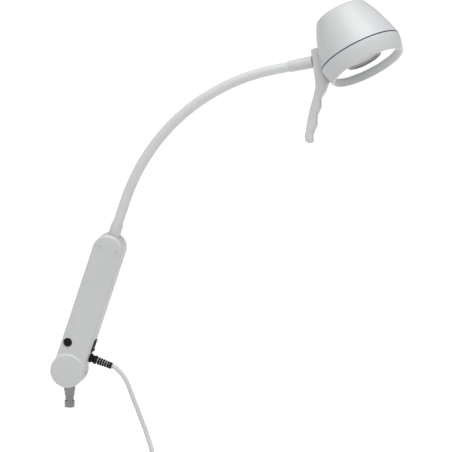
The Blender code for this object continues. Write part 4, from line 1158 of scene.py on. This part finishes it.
    def build_seal(self) -> None:
        """The two black lips behind the slot, which leave room for the spigot's tongue."""
        outer = self.hub - self.wall - 0.2 * MM
        lips = slab("slot_lips", self.sector(outer - 1.6 * MM, outer, 3, 48), -7 * MM, 7 * MM, (0, 0))
        room = self.sector(15 * MM, self.slot_end, 1, 40)
        carve(lips, slab("room", room, -2.95 * MM, 2.95 * MM, (0, 0)))
        settle(reshade(lips), ARM, 30)
        hand_in(lips, "control_box", BOOT_PVC, "black_rubber")

    def build_button(self) -> None:
        """The dimmer button: a domed cap with a shallow dish, in its collar."""
        place = ARM @ at(self.button_across, -self.front, self.button_along) @ turned_by(90, "X")
        collar = rounded([(5.3 * MM, GAP, 0), (7.0 * MM, GAP, 0), (7.0 * MM, 0.95 * MM, 0.6 * MM),
                          (5.3 * MM, 0.95 * MM, 0.2 * MM)], closed=True)
        ring = lathe("button_bezel", collar, place, 64, closed=True)
        hand_in(ring, "control_box", BLACK, "black_plastic", "button_collar")
        cap = rounded([(0, -2.5 * MM, 0), (4.9 * MM, -2.5 * MM, 0), (4.9 * MM, 1.75 * MM, 0.7 * MM),
                       (3.4 * MM, 1.95 * MM, 0.8 * MM), (0, 1.55 * MM, 0)])
        button = lathe("dimmer_cap", cap, place, 64)
        hand_in(button, "dimmer_button", BLACK, "black_plastic", "push_button")

    def build_rocker(self) -> None:
        """The mains rocker with its hollowed faces, and its frame."""
        seat = ARM @ at(self.width / 2, self.side_depth, self.rocker_along)
        lips = 2 * self.rocker_lip
        rim = block("rocker_bezel", (1.5 * MM, self.rocker_width + lips, self.rocker_length + lips),
                    at(GAP + 0.75 * MM), 0.5 * MM, 3)
        body = (9 * MM, self.rocker_width + 2.8 * MM, self.rocker_length + 3.4 * MM)
        carve(rim, block("body", body, at(-3.6 * MM)), "UNION")
        opening = (20 * MM, self.rocker_width + 0.8 * MM, self.rocker_length + 1.4 * MM)
        carve(rim, block("opening", opening, Matrix()))
        settle(reshade(rim), seat)
        hand_in(rim, "control_box", BLACK, "black_plastic", "rocker_frame")
        half, across = self.rocker_length / 2, self.rocker_width / 2
        tip, dip, middle = (6.1 * MM, half - 0.5 * MM), (3.6 * MM, half * 0.5), (4.2 * MM, 0)
        face = [tip] + bezier(tip, dip, middle, 6)
        face += bezier(middle, (dip[0], -dip[1]), (tip[0], -tip[1]), 6)
        outline = [(-0.5 * MM, -half), (-0.5 * MM, half)] + face
        rocker = slab("mains_switch", outline, -across, across, (0.5 * MM, 0.5 * MM), 3)
        settle(rocker, seat @ at(-3.0 * MM) @ turned_by(-self.rocker_lean, "Y"), 30)
        hand_in(rocker, "mains_rocker", BLACK, "black_plastic", "rocker_switch")

    def build_caps(self) -> None:
        """The two domed clamp screws at the front and the two cross-head screws at the back."""
        for across, name in ((-self.cap_across, "left"), (self.cap_across, "right")):
            profile = rounded([(0, -10 * MM, 0), (1.2 * MM, -10 * MM, 0), (1.2 * MM, 0.05 * MM, 0),
                               (2.5 * MM, 0.05 * MM, 0), (2.2 * MM, 1.0 * MM, 0.6 * MM), (0, 1.35 * MM, 0)])
            place = ARM @ at(across, -self.front - GAP, self.cap_along) @ turned_by(90, "X")
            dome = lathe(f"domed_screw_{name}", profile, place, 48)
            hand_in(dome, "control_box", HOUSING, "housing_plastic", f"clamp_screw_{name}")
        for height, name in ((self.screw_low, "lower"), (self.screw_high, "upper")):
            profile = rounded([(0, -10 * MM, 0), (1.3 * MM, -10 * MM, 0), (1.3 * MM, 0, 0),
                               (2.6 * MM, 0, 0.15 * MM), (2.4 * MM, 0.9 * MM, 0.5 * MM), (0, 1.2 * MM, 0)])
            head = lathe(f"cross_screw_{name}", profile, Matrix(), 48)
            for angle in (0, 90):
                bit = block("bit", (3.0 * MM, 0.55 * MM, 2.0 * MM), at(z=1.2 * MM) @ turned_by(angle, "Z"))
                carve(head, bit)
            settle(reshade(head), ARM @ at(0, self.back + 0.1 * MM, height) @ turned_by(-90, "X"))
            hand_in(head, "control_box", PIN_STEEL, "steel_core", f"housing_screw_{name}")

    def build_collar(self) -> None:
        """The collar round the neck where it leaves the box."""
        inner, outer = 8.15 * MM, 9.4 * MM
        low, high = self.length - 11.7 * MM, self.length + 18.5 * MM
        profile = rounded([(inner, low, 0), (outer, low, 0), (outer, high, 1.0 * MM),
                           (inner, high, 0.15 * MM)], closed=True)
        collar = lathe("neck_root_collar", profile, ARM, 72, closed=True)
        hand_in(collar, "control_box", HOUSING, "housing_plastic", "neck_collar")

    def build(self) -> None:
        """Make the housing and its fittings."""
        self.build_cover()
        self.build_shell()
        self.build_seal()
        self.build_button()
        self.build_rocker()
        self.build_caps()
        self.build_collar()


# ------------------------------------------------------------------ flexible neck
@dataclass
class Neck:
    """The sleeve of the flexible neck: a tube along its bent centreline, in one length for each joint."""

    foot: float = 231.0 * MM
    radius: float = 8.0 * MM
    wall: float = 1.9 * MM
    lead: float = 58.0 * MM
    bend_radius: float = 336.0 * MM
    turn: float = 58.1
    tail: float = 24.0 * MM
    grip: float = 29.0 * MM
    ferrule_grip: float = 13.5 * MM
    ferrule_reach: float = 39.6 * MM
    first_joint: float = 48.0 * MM
    spacing: float = 66.0 * MM
    links: int = 6
    sides: int = 40
    step: float = 3.5 * MM

    def place(self, distance: float) -> Matrix:
        """A place on the centreline.

        Args:
            distance: how far along it, from the box's end.

        Returns:
            The place, whose z runs along the centreline.
        """
        lean = math.radians(ARM_LEAN)
        bent = min(max(distance - self.lead, 0.0), self.bend_radius * math.radians(self.turn))
        heading = lean + bent / self.bend_radius
        start = Vector((math.sin(lean), 0, math.cos(lean))) * (self.foot + min(distance, self.lead))
        start += self.bend_radius * Vector((math.cos(lean) - math.cos(heading), 0,
                                            math.sin(heading) - math.sin(lean)))
        rest = max(distance - self.lead - bent, 0.0)
        spot = PIVOT + start + Vector((math.sin(heading), 0, math.cos(heading))) * rest
        return Matrix.Translation(spot) @ Matrix.Rotation(heading, 4, "Y")

    @property
    def length(self) -> float:
        """The centreline's length outside the box and up to the ferrule's lip."""
        return self.lead + self.bend_radius * math.radians(self.turn) + self.tail

    def tube(self, name: str, start: float, end: float) -> Piece:
        """A length of sleeve: a circle extruded along the straight parts and spun round the bend.

        Args:
            name: the piece's name.
            start: where it starts on the centreline.
            end: where it ends.

        Returns:
            The tube, with its wall.
        """
        clear()
        bpy.ops.mesh.primitive_circle_add(vertices=self.sides, radius=self.radius, fill_type="NOTHING")
        piece = name_it(name)
        piece.matrix_world = self.place(start)
        bpy.ops.object.transform_apply(location=True, rotation=True, scale=True)
        edit()
        bend_end = self.lead + self.bend_radius * math.radians(self.turn)
        stops = [start] + [stop for stop in (self.lead, bend_end) if start < stop < end] + [end]
        centre = self.place(self.lead) @ Vector((self.bend_radius, 0, 0))
        for low, high in zip(stops, stops[1:]):
            steps = max(1, math.ceil((high - low) / self.step))
            if self.lead <= low < bend_end:
                # with no window, spin turns against its angle's sign
                bpy.ops.mesh.spin(steps=steps, angle=(low - high) / self.bend_radius, center=centre,
                                  axis=(0, 1, 0))
                continue
            move = (self.place(high).translation - self.place(low).translation) / steps
            for _ in range(steps):
                push(move)
        heal()
        bpy.ops.object.mode_set(mode="OBJECT")
        wall = piece.modifiers.new("wall", "SOLIDIFY")
        wall.thickness = self.wall
        wall.offset = -1.0
        bpy.ops.object.modifier_apply(modifier=wall.name)
        shade(piece, 35)
        return piece

    def build(self) -> None:
        """Make one length for each joint, meeting the next halfway between two joints."""
        for index in range(self.links):
            hinge = self.first_joint + self.spacing * index
            start = hinge - self.spacing / 2 if index else -self.grip
            last = index == self.links - 1
            end = self.length + self.ferrule_grip if last else hinge + self.spacing / 2
            piece = self.tube(f"neck_sleeve_length_{index + 1}", start, end)
            WARDROBE.dress(piece, SLEEVE)
            tuple(self.place(hinge - self.spacing / 2).translation)
            tuple(self.place(hinge + self.spacing / 2).translation)
            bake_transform(piece)
            nodes = [f"neck_sleeve_{index}" if index else "neck_sleeve_root"]
            if last:
                nodes.append(f"neck_sleeve_{self.links}")
            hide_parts(*nodes)
        self.build_ferrule()

    def build_ferrule(self) -> None:
        """The conical ferrule between the neck and the bracket."""
        bore = self.radius + 0.15 * MM
        reach = self.ferrule_reach - GAP
        pin = 4.8 * MM
        profile = rounded([(bore, 0, 0.2 * MM), (8.9 * MM, 0, 0.5 * MM), (9.15 * MM, 8 * MM, 0),
                           (9.6 * MM, reach, 0.7 * MM), (pin, reach, 0), (pin, 14.3 * MM, 0),
                           (bore, 14.3 * MM, 0)], closed=True)
        ferrule = lathe("neck_end_ferrule", profile, self.place(self.length), 72, closed=True)
        hand_in(ferrule, f"neck_link_{self.links}", HOUSING, "housing_plastic", "neck_ferrule")


# ------------------------------------------------------------------ head
@dataclass
class Head:
    """The lamp head: cup, trim ring, bezel, bowl and light column, with the bracket that carries them."""

    ring: float = 67.5 * MM
    ring_height: float = 1.3 * MM
    shoulder: Point2 = (42.6 * MM, 69.5 * MM)
    bulge: Point2 = (56.3 * MM, 46.0 * MM)
    crown_radius: float = 24.0 * MM
    cup_height: float = 76.3 * MM
    cup_wall: float = 2.5 * MM
    bezel_height: float = 27.5 * MM
    lip: float = 60.2 * MM
    bezel_wall: float = 3.2 * MM
    glass_level: float = 14.0 * MM
    glass_thickness: float = 2.0 * MM
    glass_radius: float = 56.0 * MM
    column: float = 28.5 * MM
    column_height: float = 34.0 * MM
    foot_height: float = 4.4 * MM
    bowl_rise: float = 42.0 * MM
    bracket_back: float = 77.5 * MM
    handle_width: float = 15.0 * MM
    handle_thickness: float = 12.5 * MM
    handle_drop: float = 124.0 * MM
    handle_tip_back: float = 103.2 * MM
    handle_bow: float = 2.6 * MM
    groove_pitch: float = 28.7 * MM
    groove_start: float = 13.6 * MM
    groove_depth: float = 2.7 * MM
    grip_steps: int = 44

    def cup_line(self, steps: int = 12) -> list[Point2]:
        """The cup's outer side, from its lower edge to the crown's centre, in two curves.

        Args:
            steps: straight lengths in each of its two curves.

        Returns:
            Points (radius, height).
        """
        start = (self.ring, self.ring_height / 2 + GAP)
        top = (self.crown_radius, self.cup_height - 0.9 * MM)
        corner = (self.shoulder[0] - 2.8 * MM, self.cup_height - 1.0 * MM)
        line = [start] + bezier(start, self.bulge, self.shoulder, steps)
        line += bezier(self.shoulder, corner, top, steps)
        return line + [(self.crown_radius / 2, self.cup_height - 0.25 * MM), (0, self.cup_height)]

    def build_cup(self) -> None:
        """The cup, hollow, with a soft lower edge."""
        outer = self.cup_line()
        ceiling = self.cup_height - self.cup_wall
        inner = [(radius - self.cup_wall, height) for radius, height in self.cup_line(6)[:-2]
                 if height < ceiling]
        edge = self.ring_height / 2 + GAP
        section = [(0, ceiling)] + inner[:0:-1]
        section += [(self.ring - self.cup_wall, edge), (self.ring - 0.3 * MM, edge)] + outer[1:]
        cup = lathe("head_cup", section, LIGHT, 128)
        hand_in(cup, "head", HEAD_ABS, "housing_plastic", "head_shell")

    def build_trim(self) -> None:
        """The thin blue ring between cup and bezel."""
        half = self.ring_height / 2
        profile = ring_section(self.ring - 4 * MM, self.ring - 0.15 * MM, -half, half, 0.3 * MM)
        ring = lathe("blue_trim_ring", profile, LIGHT, 128, closed=True)
        hand_in(ring, "head", TRIM_BLUE, "blue_trim", "trim_ring")

    def build_bezel(self) -> None:
        """The bezel, whose broad inner slope leads in to the pane."""
        edge = self.ring_height / 2 + GAP
        ledge = self.glass_radius - 3 * MM
        seat = -self.glass_level - self.glass_thickness - GAP
        corners = [(self.ring - self.bezel_wall, -edge, 0), (self.ring, -edge, 0.3 * MM),
                   (self.ring - 1.2 * MM, -self.bezel_height * 0.35, 30 * MM),
                   (self.lip + 2.6 * MM, -self.bezel_height * 0.8, 12 * MM),
                   (self.lip + 0.6 * MM, -self.bezel_height, 1.8 * MM),
                   (self.lip - 2.6 * MM, -self.bezel_height, 1.6 * MM),
                   (ledge, seat - 3 * MM, 1.0 * MM), (ledge, seat, 0.3 * MM),
                   (self.glass_radius + 0.4 * MM, seat, 0),
                   (self.glass_radius + 0.4 * MM, -self.glass_level + GAP, 0)]
        bezel = lathe("head_rim", rounded(corners, closed=True, steps=5), LIGHT, 128, closed=True)
        hand_in(bezel, "head", HEAD_ABS, "housing_plastic", "head_bezel")

    def build_bowl(self) -> None:
        """The white bowl behind the pane."""
        floor = -self.glass_level + GAP
        rim = self.glass_radius - 1.5 * MM
        top = self.bowl_rise - self.glass_level
        throat = self.column + 3 * MM
        line = [(rim, floor)] + bezier((rim, floor), (rim - 4 * MM, top * 0.75), (throat, top), 16)
        back = [(radius + MM, height + 0.8 * MM) for radius, height in line[1:-1]]
        section = line + [(throat, top + MM)] + back[::-1] + [(rim + 1.2 * MM, floor)]
        bowl = lathe("reflector_bowl", section, LIGHT, 128, closed=True)
        hand_in(bowl, "head", BOWL, "reflector_white", "reflector")

    def build_column(self) -> None:
        """The light column in the bowl's middle and the dark ring round its foot."""
        low = -self.glass_level + GAP
        high = low + self.foot_height
        inner, outer = self.column - 4 * MM, self.column + 0.4 * MM
        ring = rounded([(inner, low, 0), (outer, low, 0.5 * MM), (outer, high, 0.3 * MM), (inner, high, 0)],
                       closed=True)
        foot = lathe("column_foot_ring", ring, LIGHT, 96, closed=True)
        hand_in(foot, "head", BLACK, "black_plastic", "column_ring")
        base = high + GAP
        top = low + self.column_height
        profile = rounded([(0, base, 0), (self.column, base, 0.6 * MM), (self.column, base + 8 * MM, 6 * MM),
                           (self.column - 7 * MM, top, 0.5 * MM), (0, top, 0)], steps=6)
        column = lathe("light_tower", profile, LIGHT, 96)
        # the tower's darker grey is painted shade
        hand_in(column, "head", TOWER_PAINTED_SHADE, "housing_plastic", "light_column")

    def handle_line(self) -> list[Point2]:
        """The bracket and its handle from the side: a flat back and finger grooves in front.

        Returns:
            The outline's points (x, z).
        """
        back = -self.bracket_back
        root = Vector((back - 0.5 * MM + self.handle_thickness / 2, -44 * MM))
        tip = Vector((-self.handle_tip_back, -self.handle_drop))
        run = (tip - root).normalized()
        length = (tip - root).length
        side = Vector((-run.y, run.x))
        top = rounded([(back, -20 * MM, 0), (back, 20 * MM, 5 * MM), (-60 * MM, 20 * MM, 0)], steps=6)
        line = top + [(-57.5 * MM, -36 * MM)]
        for step in range(4, self.grip_steps + 1):
            part = step / self.grip_steps
            distance = length * part - 5 * MM
            phase = WHOLE_TURN * (distance - self.groove_start) / self.groove_pitch
            wave = self.groove_depth * (1 + math.cos(phase)) / 2
            blend = max(0.0, 1 - part * 4) * 4 * MM
            reach = self.handle_thickness / 2 - wave + blend
            line.append(tuple(root + run * distance + side * reach))
        heading = math.degrees(math.atan2(side.y, side.x))
        end = root + run * (length - 5 * MM)
        line += arc(tuple(end), self.handle_thickness / 2, heading - 20, heading - 160, 10)
        for step in range(12, 1, -1):
            part = step / 13
            half = self.handle_thickness / 2 + self.handle_bow * math.sin(math.pi * part)
            line.append(tuple(root + run * (length * part) - side * half))
        return line + [(back - 0.8 * MM, -40 * MM), (back - 0.3 * MM, -30 * MM)]

    def build_bracket(self) -> None:
        """The bracket that hugs the cup, with its moulded finger grip."""
        half = self.handle_width / 2
        bracket = slab("handle_grip", self.handle_line(), -half, half, (2.8 * MM, 2.8 * MM), 5)
        clearance = [(radius + GAP, height) for radius, height in self.cup_line(8)[:-1]]
        clearance.append((0, self.cup_height + GAP))
        rim = [(0, -self.bezel_height - 2 * MM), (self.lip + GAP, -self.bezel_height - 2 * MM),
               (self.lip + 2.9 * MM, -self.bezel_height * 0.8),
               (self.ring - 0.9 * MM, -self.bezel_height * 0.35), (self.ring + GAP, 0)]
        tool = settle(lathe("cup_seat", rim + clearance, Matrix(), 128), turned_by(-HEAD_TILT, "Y"))
        carve(bracket, tool)
        back = -self.bracket_back
        carve(bracket, drill(6.4 * MM, back - MM, back + 7.3 * MM, turned_by(90, "Y")))
        settle(reshade(bracket), SWIVEL, 32)
        hand_in(bracket, "head", HOUSING, "housing_plastic", "handle_bracket")

    def build(self) -> None:
        """Make the head."""
        self.build_cup()
        self.build_trim()
        self.build_bezel()
        self.build_bowl()
        self.build_column()
        self.build_bracket()


# ------------------------------------------------------------------ CAD pieces that stay
KEPT = {
    PIN_STEEL: ["neck_core_root", *(f"neck_core_{i}" for i in range(1, 7)), "swivel_pin", "pivot_bolt",
                "disc_spring", "pivot_nut", "button_spring"],
    SPIGOT_STEEL: ["pivot_tongue"],
    ZINC: ["hinge_cheek_front", "hinge_cheek_rear", "cheek_spacer", "neck_clamp", "driver_transformer"],
    LINING: ["friction_washer_front", "friction_washer_rear"],
    BOARD: ["driver_board", "led_board"],
    PANE: ["front_pane"],
    ALLOY: ["heat_sink"],
    ACETAL: ["swivel_bush"],
}


def dress_kept_nodes() -> None:
    """Give each CAD node that stays in view its real finish."""
    for finish, names in KEPT.items():
        for name in names:
            WARDROBE.dress(frame["nodes"][name], finish)
        LOG.info("%s dresses %d CAD nodes", finish.name, len(names))


def main() -> None:
    """Build the studio, then the lamp from its lead to its head."""
    logging.basicConfig(level=logging.INFO, format="%(message)s")
    Studio().build()
    MainsLead().build()
    Spigot().build()
    ControlBox().build()
    Neck().build()
    Head().build()
    dress_kept_nodes()
    clear()


if __name__ == "__main__":
    main()
